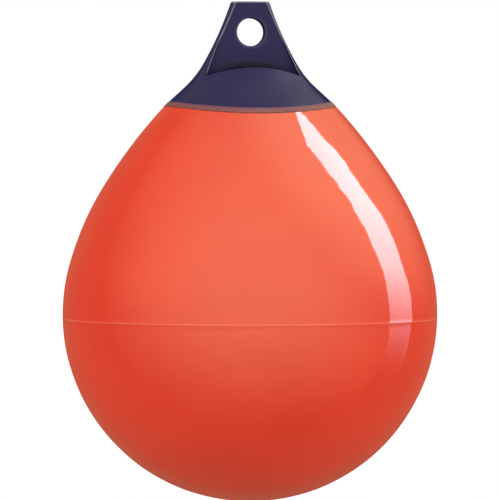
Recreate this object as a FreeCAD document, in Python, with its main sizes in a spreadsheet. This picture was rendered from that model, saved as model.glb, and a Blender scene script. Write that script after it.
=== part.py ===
"""Inflatable buoy: an air-filled vinyl envelope hanging from a moulded rope head.

The frame is the rope eye's: the origin is the middle of its bore, the bore runs along Y, +Z is up
and the inflation valve is at the back, on the +Y side. Lengths are in millimetres and angles in
degrees.

The envelope, the seam band and the head share one outer surface of revolution. From the bottom
pole up it is a sphere, a shoulder arc and a neck arc, each tangent to the one before, then from
the joint circle the cone of the head's skirt, a hollow blend and the flare up to a flat top.
"""

import FreeCAD
import Part

import math
import os
from types import SimpleNamespace

import Sketcher

VECTOR = FreeCAD.Vector
START, END, CENTRE = 1, 2, 3  # the points of a sketch's line or arc
ORIGIN = (-1, 1)  # a sketch's origin
UPRIGHT_AXIS = -2  # a sketch's own upright axis
NEAR = 0.01  # a point this near a face or a curve lies on it

# Driving sizes: (name, value, meaning).
SIZES = (
    ("body_radius", 184.0, "radius of the envelope at its widest, and of its lower half"),
    ("shoulder_start", 16.1, "angle above the widest level where the shoulder arc starts"),
    ("shoulder_radius", 309.6, "radius of the shoulder arc"),
    ("neck_start", 32.65, "angle where the neck arc starts"),
    ("neck_radius", 512.0, "radius of the neck arc"),
    ("envelope_wall", 3.0, "wall of the inflated envelope"),
    ("bead_radius", 0.7, "radius of the moulding bead round the envelope"),
    ("bead_inset", 0.3, "how far the bead's centre lies inside the envelope's radius"),
    ("bead_drop", 4.0, "from the widest level down to the moulding bead"),
    ("joint_radius", 81.75, "radius of the joint circle, where the neck arc meets the skirt's cone"),
    ("joint_drop", 70.0, "from the eye's centre down to the joint circle"),
    ("head_top", 30.0, "from the eye's centre up to the head's flat top"),
    ("top_radius", 18.8, "radius of the head at its flat top"),
    ("flare_radius", 341.0, "radius of the flare's hollow curve"),
    ("blend_radius", 97.0, "radius of the hollow curve between flare and skirt"),
    ("skirt_slope", 47.5, "slope of the skirt's cone, from the vertical"),
    ("skirt_length", 23.23, "length of the cone, from the joint circle up to the blend"),
    ("skirt_wall", 6.0, "wall of the skirt"),
    ("tuck_depth", 28.0, "from the joint circle down to the edge of the tucked flange"),
    ("tuck_wall", 3.0, "wall of the flange that is tucked under the envelope"),
    ("plate_thickness", 22.0, "thickness of the plate that holds the eye"),
    ("pocket_inset", 17.33, "at the sill, from the straight line from top to joint in to the wall"),
    ("pocket_slope", 22.5, "slope of a pocket's side walls, from the vertical"),
    ("sill_drop", 35.5, "from the eye's centre down to the middle of a pocket's sill"),
    ("sill_radius", 136.0, "radius of the arched sill"),
    ("sill_depth", 15.5, "from the middle of the sill down to the roof of the head's hollow"),
    ("sill_fillet", 9.0, "hollow rounding between the sill and the plate"),
    ("top_fillet", 2.0, "rounding of the plate's top edges"),
    ("eye_diameter", 27.5, "bore of the rope eye"),
    ("eye_fillet", 2.9, "rounding of the eye's rims"),
    ("lap_depth", 10.3, "from the joint circle down to the lap's edge at front and back"),
    ("lap_radius", 488.0, "radius of the arc along which the lap rises to the sides"),
    ("lap_cover", 2.0, "how far the skirt's full wall runs down past the lap before it is cut"),
    ("band_height", 5.7, "height of the seam band above the lap's edge"),
    ("band_wall", 0.9, "thickness of the seam band"),
    ("valve_climb", 10.5, "from the joint circle up the skirt's cone to the valve"),
    ("boss_diameter", 22.0, "diameter of the valve's boss on the skirt"),
    ("boss_height", 1.2, "height of the boss above the skirt"),
    ("flange_diameter", 18.0, "diameter of the valve bush's flange"),
    ("flange_height", 1.2, "thickness of that flange"),
    ("barrel_diameter", 13.0, "diameter of the bush's barrel"),
    ("barrel_length", 9.0, "length of the barrel below its flange"),
    ("washer_diameter", 15.0, "outer diameter of the sealing washer"),
    ("washer_height", 1.2, "thickness of the sealing washer"),
    ("shank_diameter", 8.0, "diameter of the valve screw's shank"),
    ("shank_length", 8.0, "length of the shank inside the barrel"),
    ("shank_clearance", 0.2, "gap between the shank and the bores round it"),
    ("knob_diameter", 15.0, "diameter of the valve screw's head"),
    ("knob_height", 3.4, "height of the screw's head"),
    ("knob_chamfer", 0.8, "chamfer round the screw's head"),
    ("slot_width", 1.8, "width of the screw's slot"),
    ("slot_depth", 1.6, "depth of the screw's slot"),
    ("tool_margin", 10.0, "how far cutting shapes reach past what they cut"),
)


class Size:
    """A number together with the sheet's expression for it, through plain arithmetic."""

    def __init__(self, value, text):
        self.value = value
        self.text = text

    def __float__(self):
        return float(self.value)

    def __neg__(self):
        return Size(-self.value, "-" + self.text)

    def __add__(self, other):
        return Size(self.value + float(other), "(%s + %s)" % (self.text, written(other)))

    def __sub__(self, other):
        return Size(self.value - float(other), "(%s - %s)" % (self.text, written(other)))

    def __mul__(self, other):
        return Size(self.value * float(other), "(%s * %s)" % (self.text, written(other)))

    def __truediv__(self, other):
        return Size(self.value / float(other), "(%s / %s)" % (self.text, written(other)))


def written(item):
    return item.text if isinstance(item, Size) else repr(item)


def sin(angle):
    return Size(math.sin(math.radians(angle)), "sin(%s)" % angle.text)


def cos(angle):
    return Size(math.cos(math.radians(angle)), "cos(%s)" % angle.text)


def tan(angle):
    return Size(math.tan(math.radians(angle)), "tan(%s)" % angle.text)


def root(square):
    return Size(math.sqrt(square), "sqrt(%s)" % square.text)


size = SimpleNamespace(**{name: Size(value, "<<Sizes>>." + name) for name, value, _ in SIZES})
ZERO = Size(0.0, "0")
RIGHT_ANGLE = Size(90.0, "90")

# The shared outer surface. The envelope hangs from the joint circle: the neck arc's centre follows
# from that circle, and the widest level from the neck's centre.
shoulder_gap = size.body_radius - size.shoulder_radius
neck_gap = size.shoulder_radius - size.neck_radius
neck_x = shoulder_gap * cos(size.shoulder_start) + neck_gap * cos(size.neck_start)
joint_in = size.joint_radius - neck_x
joint_z = -size.joint_drop
neck_z = joint_z - root(size.neck_radius * size.neck_radius - joint_in * joint_in)
equator_z = neck_z - shoulder_gap * sin(size.shoulder_start) - neck_gap * sin(size.neck_start)

# Half the pocket's width at the sill, inside the straight line from the top's rim to the joint.
sill_share = (size.head_top + size.sill_drop) / (size.head_top + size.joint_drop)
sill_reach = size.top_radius + (size.joint_radius - size.top_radius) * sill_share
sill_half_width = sill_reach - size.pocket_inset

# Levels of the head's hollow, and of the lap between envelope and head.
roof_z = -size.sill_drop - size.sill_depth
lap_z = joint_z - size.lap_depth
foot_z = lap_z - size.lap_cover
hem_z = joint_z - size.tuck_depth

# The wall of the flange that is tucked under the envelope, as radii about the neck's centre.
tuck_outer = size.neck_radius - size.envelope_wall
tuck_inner = tuck_outer - size.tuck_wall

# Levels along the valve's axis, from the boss's top.
washer_seat = size.flange_height
knob_seat = washer_seat + size.washer_height
knob_top = knob_seat + size.knob_height
shank_bore = size.shank_diameter / 2 + size.shank_clearance


def point(across, up):
    return VECTOR(float(across), float(up), 0)


def direction(angle):
    """The unit vector at an angle in a sketch's plane."""
    return VECTOR(math.cos(math.radians(angle)), math.sin(math.radians(angle)), 0)


def angle_of(vector):
    """A vector's angle in a sketch's plane, from 0 to 360 degrees."""
    return math.degrees(math.atan2(vector.y, vector.x)) % 360


def line_meets_circle(start, along, centre, radius):
    """Where a line meets a circle, at the meeting nearer to start."""
    away = start - centre
    half = away.dot(along)
    reach = math.sqrt(half ** 2 - away.dot(away) + float(radius) ** 2)
    meetings = [start + along * (-half + sign * reach) for sign in (1, -1)]
    return min(meetings, key=start.distanceToPoint)


def circles_meet(one, one_radius, other, other_radius):
    """Where two circles meet, at the higher of the two meetings."""
    gap = other - one
    along = (gap.dot(gap) + float(one_radius) ** 2 - float(other_radius) ** 2) / (2 * gap.Length)
    aside = math.sqrt(float(one_radius) ** 2 - along ** 2)
    step = VECTOR(gap).normalize()
    meetings = [one + step * along + VECTOR(-step.y, step.x, 0) * sign * aside for sign in (1, -1)]
    return max(meetings, key=lambda meeting: meeting.y)


NECK_CENTRE = point(neck_x, neck_z)
JOINT = point(size.joint_radius, joint_z)
JOINT_ANGLE = angle_of(JOINT - NECK_CENTRE)
OUTWARD = direction(size.skirt_slope)  # square to the skirt's cone
DOWN_SKIRT = direction(size.skirt_slope.value - 90)


def neck_angle(level, radius):
    """Where an arc of that radius about the neck's centre passes a height."""
    return math.degrees(math.asin((float(level) - NECK_CENTRE.y) / float(radius)))


def on_neck(radius, angle):
    return NECK_CENTRE + direction(angle) * float(radius)


class Outline:
    """A sketch on its body's own XZ plane. Its sizes are bound to the sheet."""

    def __init__(self, body, name, offset=None):
        self.sketch = body.newObject("Sketcher::SketchObject", name)
        self.sketch.AttachmentSupport = [(origin_plane(body), "")]
        self.sketch.MapMode = "FlatFace"
        if offset:
            self.sketch.setExpression("AttachmentOffset.Base.z", offset.text)

    def line(self, start, end):
        return self.sketch.addGeometry(Part.LineSegment(start, end))

    def arc(self, centre, radius, start, end):
        circle = Part.Circle(centre, VECTOR(0, 0, 1), float(radius))
        return self.sketch.addGeometry(Part.ArcOfCircle(circle, math.radians(start), math.radians(end)))

    def circle(self, centre, radius):
        """Draws a circle and sets its radius."""
        ring = self.sketch.addGeometry(Part.Circle(centre, VECTOR(0, 0, 1), float(radius)))
        self.radius(ring, radius)
        return ring

    def rule(self, *places):
        """Adds a constraint that has no size."""
        self.sketch.addConstraint(Sketcher.Constraint(*places))

    def bind(self, amount, *places):
        """Adds a constraint and binds it to a size."""
        index = self.sketch.addConstraint(Sketcher.Constraint(*places, float(amount)))
        self.sketch.setExpression("Constraints[%d]" % index, amount.text)

    def across(self, item, corner, amount):
        """Sets a point's distance from the upright axis."""
        self.bind(amount, "DistanceX", *ORIGIN, item, corner)

    def up(self, item, corner, amount):
        """Sets a point's height above the origin."""
        self.bind(amount, "DistanceY", *ORIGIN, item, corner)

    def radius(self, item, amount):
        self.bind(amount, "Radius", item)

    def length(self, item, amount):
        self.bind(amount, "Distance", item, START, item, END)

    def slope(self, item, angle):
        """Sets a line's direction, in degrees from the level."""
        index = self.sketch.addConstraint(Sketcher.Constraint("Angle", item, math.radians(angle)))
        self.sketch.setExpression("Constraints[%d]" % index, angle.text + " * 1deg")

    def join(self, *items):
        """Joins the end of each line or arc to the start of the next."""
        for one, other in zip(items, items[1:]):
            self.rule("Coincident", one, END, other, START)

    def meet(self, *pairs):
        """Joins points in pairs, each given as item, corner, item, corner."""
        for pair in pairs:
            self.rule("Coincident", *pair)

    def upright(self, item, corner):
        """Puts a point on the upright axis."""
        self.rule("PointOnObject", item, corner, UPRIGHT_AXIS)

    def level(self, *lines):
        for line in lines:
            self.rule("Horizontal", line)

    def radial(self, line, arc):
        """Turns a line towards an arc's centre."""
        self.rule("PointOnObject", arc, CENTRE, line)

    def on_neck_centre(self, arc, *others):
        """Puts arcs on the neck arc's centre."""
        self.across(arc, CENTRE, neck_x)
        self.up(arc, CENTRE, neck_z)
        for other in others:
            self.rule("Coincident", arc, CENTRE, other, CENTRE)

    def polygon(self, *corners):
        """Draws a closed outline through corners given as pairs of sizes, across and up."""
        count = len(corners)
        lines = []
        for index, corner in enumerate(corners):
            lines.append(self.line(point(*corner), point(*corners[(index + 1) % count])))
        self.join(*lines, lines[0])
        for line, (across, up) in zip(lines, corners):
            self.across(line, START, across)
            self.up(line, START, up)


def origin_plane(body):
    """The body's own XZ plane, which every outline here lies on."""
    return [item for item in body.Origin.OriginFeatures if item.Role == "XZ_Plane"][0]


def make_sheet(document):
    sheet = document.addObject("Spreadsheet::Sheet", "Sizes")
    for row, (name, value, meaning) in enumerate(SIZES, start=1):
        sheet.set("A%d" % row, name)
        sheet.set("B%d" % row, str(value))
        sheet.set("C%d" % row, meaning)
        sheet.setAlias("B%d" % row, name)
    document.recompute()


def make_body(document, name):
    body = document.addObject("PartDesign::Body", name)
    body.Label = name
    return body


def revolve(body, outline, name):
    """Turns the outline round its upright axis and adds it to the body."""
    feature = body.newObject("PartDesign::Revolution", name)
    feature.Profile = outline.sketch
    feature.ReferenceAxis = (outline.sketch, ["V_Axis"])
    feature.Angle = 360


def cut_through(body, outline, name):
    """Cuts the outline away along Y, on both sides of its plane."""
    feature = body.newObject("PartDesign::Pocket", name)
    feature.Profile = outline.sketch
    feature.Midplane = True
    feature.Type = "ThroughAll"


def envelope_section(body):
    """The envelope's wall: three tangent arcs outside, and three about the same centres inside."""
    section = Outline(body, "envelope_section")
    equator = point(ZERO, equator_z)
    shoulder_centre = equator + direction(size.shoulder_start) * float(shoulder_gap)
    centres = (equator, shoulder_centre, NECK_CENTRE)
    radii = (size.body_radius, size.shoulder_radius, size.neck_radius)
    angles = (-90, float(size.shoulder_start), float(size.neck_start), JOINT_ANGLE)
    outer = []
    inner = []
    for chain, depth in ((outer, ZERO), (inner, size.envelope_wall)):
        for centre, radius, start, end in zip(centres, radii, angles, angles[1:]):
            chain.append(section.arc(centre, radius - depth, start, end))
    lip = section.line(JOINT, on_neck(tuck_outer, JOINT_ANGLE))
    bottom = equator - point(ZERO, size.body_radius)
    pole = section.line(bottom + point(ZERO, size.envelope_wall), bottom)

    section.upright(outer[0], CENTRE)
    section.upright(outer[0], START)
    section.upright(inner[0], START)
    section.up(outer[0], CENTRE, equator_z)
    for item, radius in zip(outer, radii):
        section.radius(item, radius)
    section.radius(inner[0], size.body_radius - size.envelope_wall)
    for one, other in zip(outer, inner):
        section.rule("Coincident", one, CENTRE, other, CENTRE)
    for chain in (outer, inner):
        for one, other in zip(chain, chain[1:]):
            section.rule("Tangent", one, END, other, START)
    for item, radius, end in zip(outer, radii, (size.shoulder_start, size.neck_start)):
        section.bind(radius * sin(end), "DistanceY", item, CENTRE, item, END)
    section.across(outer[2], END, size.joint_radius)
    section.meet((lip, START, outer[2], END), (lip, END, inner[2], END))
    section.radial(lip, outer[2])
    section.meet((pole, START, inner[0], START), (pole, END, outer[0], START))
    return section


def bead_section(body):
    """The thin bead that the mould's parting leaves round the envelope."""
    section = Outline(body, "bead_section")
    across = size.body_radius - size.bead_inset
    up = equator_z - size.bead_drop
    ring = section.circle(point(across, up), size.bead_radius)
    section.across(ring, CENTRE, across)
    section.up(ring, CENTRE, up)
    return section


def lap_outline(body, name, rise, far):
    """The space between the lap's arched edge, raised by rise, and a level that far from it."""
    outline = Outline(body, name)
    reach = size.joint_radius * 1.5
    edge = lap_z + rise
    centre = point(ZERO, edge + size.lap_radius)
    half_turn = math.degrees(math.asin(float(reach) / float(size.lap_radius)))
    corners = (
        centre + direction(270 + half_turn) * float(size.lap_radius),
        point(reach, edge + far),
        point(-reach, edge + far),
        centre + direction(270 - half_turn) * float(size.lap_radius),
    )
    arc = outline.arc(centre, size.lap_radius, 270 - half_turn, 270 + half_turn)
    right, end, left = [outline.line(*pair) for pair in zip(corners, corners[1:])]

    outline.join(arc, right, end, left, arc)
    outline.rule("Vertical", right)
    outline.rule("Vertical", left)
    outline.level(end)
    outline.upright(arc, CENTRE)
    outline.radius(arc, size.lap_radius)
    outline.up(arc, CENTRE, edge + size.lap_radius)
    outline.across(end, START, reach)
    outline.across(end, END, -reach)
    outline.up(end, START, edge + far)
    return outline


def make_envelope(document):
    """The red envelope. It is open at the top, where the head closes it."""
    body = make_body(document, "body")
    revolve(body, envelope_section(body), "wall")
    revolve(body, bead_section(body), "moulding_bead")
    cut_through(body, lap_outline(body, "above_lap", ZERO, size.body_radius), "lap_trim")
    return body


def band_section(body):
    """A strip of the outer surface either side of the joint circle, as thick as the band."""
    section = Outline(body, "band_section")
    inner = size.neck_radius - size.band_wall
    foot_angle = neck_angle(foot_z, size.neck_radius)
    length = size.band_height * 3
    wall = float(size.band_wall)
    top = JOINT - DOWN_SKIRT * float(length)
    inner_top = top - OUTWARD * wall
    inner_joint = line_meets_circle(JOINT - OUTWARD * wall, DOWN_SKIRT, NECK_CENTRE, inner)

    outer_arc = section.arc(NECK_CENTRE, size.neck_radius, foot_angle, JOINT_ANGLE)
    outer_line = section.line(JOINT, top)
    rim = section.line(top, inner_top)
    inner_line = section.line(inner_top, inner_joint)
    inner_arc = section.arc(NECK_CENTRE, inner, foot_angle, angle_of(inner_joint - NECK_CENTRE))
    foot = section.line(on_neck(inner, foot_angle), on_neck(size.neck_radius, foot_angle))

    section.join(outer_arc, outer_line, rim, inner_line)
    section.meet((inner_line, END, inner_arc, END), (inner_arc, START, foot, START))
    section.meet((foot, END, outer_arc, START))
    section.on_neck_centre(outer_arc, inner_arc)
    section.radial(foot, outer_arc)
    section.rule("Parallel", outer_line, inner_line)
    section.rule("Perpendicular", outer_line, rim)
    section.radius(outer_arc, size.neck_radius)
    section.length(rim, size.band_wall)
    section.length(foot, size.band_wall)
    section.length(outer_line, length)
    section.across(outer_line, START, size.joint_radius)
    section.up(outer_arc, START, foot_z)
    section.slope(outer_line, size.skirt_slope + 90)
    return section


def make_band(document):
    """The thin lap of envelope vinyl on the head's skirt, set flush into it."""
    body = make_body(document, "seam_band")
    far = size.body_radius
    revolve(body, band_section(body), "strip")
    cut_through(body, lap_outline(body, "above_band", size.band_height, far), "top_trim")
    cut_through(body, lap_outline(body, "below_band", ZERO, -far), "lap_trim")
    return body


def head_section(body):
    """The head's section: top, flare, blend, cone, tucked flange, and the hollow under its roof."""
    section = Outline(body, "head_section")
    top_corner = point(size.top_radius, size.head_top)
    cone_top = JOINT - DOWN_SKIRT * float(size.skirt_length)
    blend_centre = cone_top + OUTWARD * float(size.blend_radius)
    blend_gap = size.flare_radius - size.blend_radius
    flare_centre = circles_meet(top_corner, size.flare_radius, blend_centre, blend_gap)
    flare_start = angle_of(top_corner - flare_centre)
    touch = angle_of(blend_centre - flare_centre)
    cone_angle = 180 + float(size.skirt_slope)
    foot_angle = neck_angle(foot_z, size.neck_radius)
    hem_angle = neck_angle(hem_z, tuck_outer)
    lining_base = JOINT - OUTWARD * float(size.skirt_wall)
    lining_top = line_meets_circle(lining_base, DOWN_SKIRT, NECK_CENTRE, tuck_inner)
    roof_edge = lining_top + DOWN_SKIRT * ((float(roof_z) - lining_top.y) / DOWN_SKIRT.y)
    top_middle = point(ZERO, size.head_top)
    roof_middle = point(ZERO, roof_z)

    lid = section.line(top_middle, top_corner)
    flare = section.arc(flare_centre, size.flare_radius, flare_start, touch)
    blend = section.arc(blend_centre, size.blend_radius, touch, cone_angle)
    cone = section.line(cone_top, JOINT)
    lap = section.arc(NECK_CENTRE, size.neck_radius, foot_angle, JOINT_ANGLE)
    step = section.line(on_neck(size.neck_radius, foot_angle), on_neck(tuck_outer, foot_angle))
    tuck = section.arc(NECK_CENTRE, tuck_outer, hem_angle, foot_angle)
    hem = section.line(on_neck(tuck_outer, hem_angle), on_neck(tuck_inner, hem_angle))
    lining = section.arc(NECK_CENTRE, tuck_inner, hem_angle, angle_of(lining_top - NECK_CENTRE))
    under = section.line(lining_top, roof_edge)
    ceiling = section.line(roof_edge, roof_middle)
    axis = section.line(roof_middle, top_middle)

    section.join(lid, flare)
    section.rule("Tangent", flare, END, blend, START)
    section.rule("Tangent", blend, END, cone, START)
    section.meet((cone, END, lap, END), (lap, START, step, START), (step, END, tuck, END))
    section.meet((tuck, START, hem, START), (hem, END, lining, START), (lining, END, under, START))
    section.join(under, ceiling, axis, lid)
    section.on_neck_centre(lap, tuck, lining)
    section.radial(step, lap)
    section.radial(hem, lap)
    section.level(lid, ceiling)
    section.upright(lid, START)
    section.upright(axis, START)
    section.rule("Parallel", cone, under)

    section.up(lid, START, size.head_top)
    section.across(lid, END, size.top_radius)
    section.radius(flare, size.flare_radius)
    section.radius(blend, size.blend_radius)
    section.length(cone, size.skirt_length)
    section.slope(cone, size.skirt_slope - 90)
    section.across(cone, END, size.joint_radius)
    section.radius(lap, size.neck_radius)
    section.up(step, START, foot_z)
    section.radius(tuck, tuck_outer)
    section.up(tuck, START, hem_z)
    section.radius(lining, tuck_inner)
    section.bind(size.skirt_wall, "Distance", under, START, cone)
    section.up(axis, START, roof_z)
    return section


def pocket_outline(body):
    """One pocket seen from the front: sloping side walls over an arched sill."""
    outline = Outline(body, "pocket_outline", offset=size.plate_thickness / 2)
    high = size.head_top + size.tool_margin
    wide = sill_half_width - (size.sill_drop + high) * tan(size.pocket_slope)
    sill_centre = -size.sill_drop - size.sill_radius
    centre = point(ZERO, sill_centre)
    down_wall = direction(float(size.pocket_slope) - 90)
    sill_level = point(sill_half_width, -size.sill_drop)
    corner = line_meets_circle(sill_level, down_wall, centre, size.sill_radius)
    half_turn = 90 - angle_of(corner - centre)

    sill = outline.arc(centre, size.sill_radius, 90 - half_turn, 90 + half_turn)
    left_wall = outline.line(point(-corner.x, corner.y), point(-wide, high))
    lid = outline.line(point(-wide, high), point(wide, high))
    right_wall = outline.line(point(wide, high), corner)

    outline.join(sill, left_wall, lid, right_wall, sill)
    outline.level(lid)
    outline.upright(sill, CENTRE)
    outline.radius(sill, size.sill_radius)
    outline.up(sill, CENTRE, sill_centre)
    outline.up(lid, START, high)
    outline.across(lid, END, wide)
    outline.across(lid, START, -wide)
    outline.slope(right_wall, size.pocket_slope - 90)
    outline.slope(left_wall, RIGHT_ANGLE - size.pocket_slope)
    return outline


def eye_outline(body):
    outline = Outline(body, "eye_outline")
    ring = outline.circle(point(ZERO, ZERO), size.eye_diameter / 2)
    outline.rule("Coincident", ring, CENTRE, *ORIGIN)
    return outline


def on_plate(place):
    """Whether a point lies on one of the plate's two faces."""
    return abs(abs(place.y) - size.plate_thickness.value / 2) < NEAR


def on_sill(place):
    radius = size.sill_radius.value
    from_centre = math.hypot(place.x, place.z + size.sill_drop.value + radius)
    return on_plate(place) and abs(from_centre - radius) < NEAR


def on_top(place):
    return on_plate(place) and abs(place.z - size.head_top.value) < NEAR


def on_rim(place):
    return on_plate(place) and abs(math.hypot(place.x, place.z) - size.eye_diameter.value / 2) < NEAR


def round_edges(body, name, radius, test):
    """Rounds the body's edges whose sample points all pass the test."""
    body.Document.recompute()
    base = body.Tip
    names = []
    for number, edge in enumerate(base.Shape.Edges, start=1):
        first, last = edge.ParameterRange
        places = [edge.valueAt(first + (last - first) * share) for share in (0.1, 0.5, 0.9)]
        if all(test(place) for place in places):
            names.append("Edge%d" % number)
    if not names:
        raise RuntimeError("no edges to round for " + name)
    fillet = body.newObject("PartDesign::Fillet", name)
    fillet.Base = (base, names)
    fillet.setExpression("Radius", radius.text)
    body.Tip = fillet
    body.Document.recompute()


def make_moulding(document):
    """The rope head's own shape: a bell with a pocket front and back, and the eye between them."""
    body = make_body(document, "head_moulding")
    revolve(body, head_section(body), "bell")

    pocket = body.newObject("PartDesign::Pocket", "front_pocket")
    pocket.Profile = pocket_outline(body).sketch
    pocket.Reversed = True
    pocket.setExpression("Length", size.body_radius.text)
    document.recompute()
    mirror = body.newObject("PartDesign::Mirrored", "back_pocket")
    mirror.Originals = [pocket]
    mirror.MirrorPlane = (origin_plane(body), [""])
    body.Tip = mirror

    round_edges(body, "sill_rounding", size.sill_fillet, on_sill)
    round_edges(body, "top_rounding", size.top_fillet, on_top)
    cut_through(body, eye_outline(body), "eye")
    round_edges(body, "eye_rounding", size.eye_fillet, on_rim)
    return body


def turn_on_skirt(document, name, *corners):
    """A turned piece made along its own Z, then stood on the valve's boss, square to the skirt."""
    body = make_body(document, name)
    outline = Outline(body, name + "_section")
    outline.polygon(*corners)
    revolve(body, outline, name + "_turned")
    slope = size.skirt_slope
    across = size.joint_radius - size.valve_climb * sin(slope) + size.boss_height * cos(slope)
    up = joint_z + size.valve_climb * cos(slope) + size.boss_height * sin(slope)
    tilt = slope - 90
    body.Placement = FreeCAD.Placement(VECTOR(), VECTOR(1, 0, 0), float(tilt))
    body.setExpression("Placement.Base.y", across.text)
    body.setExpression("Placement.Base.z", up.text)
    body.setExpression("Placement.Rotation.Angle", tilt.text + " * 1deg")
    return body


def plug_corners(radius, low, high):
    """The section of a plain cylinder between two levels."""
    return ((ZERO, low), (radius, low), (radius, high), (ZERO, high))


def make_bush(document):
    """The flanged insert in the skirt that the valve's screw goes into."""
    barrel = size.barrel_diameter / 2
    flange = size.flange_diameter / 2
    return turn_on_skirt(
        document,
        "valve_bush",
        (shank_bore, -size.barrel_length),
        (barrel, -size.barrel_length),
        (barrel, ZERO),
        (flange, ZERO),
        (flange, size.flange_height),
        (shank_bore, size.flange_height),
    )


def make_washer(document):
    outer = size.washer_diameter / 2
    return turn_on_skirt(
        document,
        "valve_washer",
        (shank_bore, washer_seat),
        (outer, washer_seat),
        (outer, knob_seat),
        (shank_bore, knob_seat),
    )


def make_screw(document):
    """The slotted plug that closes the valve."""
    shank = size.shank_diameter / 2
    knob = size.knob_diameter / 2
    body = turn_on_skirt(
        document,
        "valve_screw",
        (ZERO, -size.shank_length),
        (shank, -size.shank_length),
        (shank, knob_seat),
        (knob, knob_seat),
        (knob, knob_top - size.knob_chamfer),
        (knob - size.knob_chamfer, knob_top),
        (ZERO, knob_top),
    )
    slot = Outline(body, "slot_outline")
    half = size.slot_width / 2
    floor = knob_top - size.slot_depth
    over = knob_top + size.tool_margin
    slot.polygon((-half, floor), (half, floor), (half, over), (-half, over))
    cut_through(body, slot, "slot")
    return body


def combine(document, kind, name, base, tool):
    """One of Part's booleans of two pieces: Part::Fuse or Part::Cut."""
    result = document.addObject(kind, name)
    result.Base = base
    result.Tool = tool
    result.Label = name
    return result


def make_head(document, envelope, band):
    """The head: its moulding with the valve's boss, less what the envelope and the band fill."""
    moulding = make_moulding(document)
    wall = size.skirt_wall + size.boss_height
    boss = turn_on_skirt(document, "boss", *plug_corners(size.boss_diameter / 2, -wall / 2, ZERO))
    reach = size.barrel_length + size.tool_margin
    drill = turn_on_skirt(
        document, "drill", *plug_corners(size.barrel_diameter / 2, -reach, size.tool_margin)
    )
    bossed = combine(document, "Part::Fuse", "bossed_moulding", moulding, boss)
    bored = combine(document, "Part::Cut", "bored_moulding", bossed, drill)
    tucked = combine(document, "Part::Cut", "tucked_moulding", bored, envelope)
    return combine(document, "Part::Cut", "head", tucked, band)


def check(document, pieces):
    """Stops unless every object is up to date, every sketch is set and every piece is one solid."""
    for item in document.Objects:
        if "Invalid" in item.State or "Error" in item.State:
            raise RuntimeError("%s failed: %s" % (item.Name, item.State))
        if item.TypeId == "Sketcher::SketchObject" and not item.FullyConstrained:
            raise RuntimeError("%s isn't fully set" % item.Name)
    for piece in pieces:
        shape = piece.Shape
        if shape.isNull() or not shape.isValid() or len(shape.Solids) != 1:
            raise RuntimeError("%s isn't one valid solid" % piece.Label)


def main():
    document = FreeCAD.newDocument("buoy")
    make_sheet(document)
    envelope = make_envelope(document)
    band = make_band(document)
    head = make_head(document, envelope, band)
    pieces = [envelope, head, band, make_bush(document), make_washer(document), make_screw(document)]
    document.recompute()
    check(document, pieces)
    os.makedirs("parts", exist_ok=True)
    for piece in pieces:
        piece.Shape.exportStep("parts/%s.step" % piece.Label)
        print("%s: %.0f mm3" % (piece.Label, piece.Shape.Volume))


main()
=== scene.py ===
"""The looks of an inflatable buoy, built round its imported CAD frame.

The frame is the CAD's: metres, the origin in the middle of the rope eye, the eye's bore along Y,
+Z up and the inflation valve at the back, on the +Y side. The envelope, the seam band and the rope
head share one outer surface of revolution, which BuoyOutline describes. Each sub-assembly is a
class that holds its sizes, builds its meshes and dresses them. Studio sets the floor, the lamps and
the camera.
"""

import logging
import math
from dataclasses import dataclass, field
from enum import Enum
from typing import Callable, Sequence

import bpy
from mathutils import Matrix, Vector


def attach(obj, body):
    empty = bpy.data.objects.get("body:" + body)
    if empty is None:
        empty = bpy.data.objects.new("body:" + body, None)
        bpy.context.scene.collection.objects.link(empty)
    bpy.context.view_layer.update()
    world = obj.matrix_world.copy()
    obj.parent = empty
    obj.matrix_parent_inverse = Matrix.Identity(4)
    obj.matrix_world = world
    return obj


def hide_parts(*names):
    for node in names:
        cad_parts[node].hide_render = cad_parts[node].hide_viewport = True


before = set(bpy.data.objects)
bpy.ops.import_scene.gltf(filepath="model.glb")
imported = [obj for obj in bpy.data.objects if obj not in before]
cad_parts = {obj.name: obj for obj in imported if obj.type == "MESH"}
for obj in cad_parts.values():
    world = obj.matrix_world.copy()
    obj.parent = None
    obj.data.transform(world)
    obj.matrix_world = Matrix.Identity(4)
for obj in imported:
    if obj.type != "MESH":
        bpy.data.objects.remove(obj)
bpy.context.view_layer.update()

LOG = logging.getLogger("buoy")
BODY_NAME = "root"
MM = 0.001
FULL_TURN = 2 * math.pi
MERGE_DISTANCE = 2e-6
NEAR = 2e-5  # a vertex this near a surface lies on it
SMOOTH_ANGLE = math.radians(32)
UP = Vector((0.0, 0.0, 1.0))

Colour = tuple[float, float, float, float]
Ramp = tuple[float, float, float, float]
Test = Callable[[Vector], bool]
Piece = bpy.types.Object
Material = bpy.types.Material
Node = bpy.types.Node
Socket = bpy.types.NodeSocket
Corners = Sequence[tuple[float, float]]


# ---------------------------------------------------------------------------------------- geometry


def section_point(across: float, up: float) -> Vector:
    """The point of the half section, in the XZ plane, at a distance from the axis and a height."""
    return Vector((across, 0.0, up))


def section_direction(angle: float) -> Vector:
    """The section's unit vector at an angle in degrees, from outward towards +Z."""
    return section_point(math.cos(math.radians(angle)), math.sin(math.radians(angle)))


def angle_of(vector: Vector) -> float:
    """A section vector's angle, in degrees from 0 to 360."""
    return math.degrees(math.atan2(vector.z, vector.x)) % 360


def circles_meet(one: Vector, one_radius: float, other: Vector, other_radius: float) -> Vector:
    """Where two circles of the section meet, at the higher of the two meetings.

    Args:
        one: the first circle's centre.
        one_radius: its radius.
        other: the second circle's centre.
        other_radius: its radius.

    Returns:
        The higher meeting.
    """
    gap = other - one
    along = (gap.length_squared + one_radius**2 - other_radius**2) / (2 * gap.length)
    aside = math.sqrt(one_radius**2 - along**2)
    step = gap.normalized()
    across = section_point(-step.z, step.x)
    meetings = [one + step * along + across * sign * aside for sign in (1, -1)]
    return max(meetings, key=lambda meeting: meeting.z)


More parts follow.
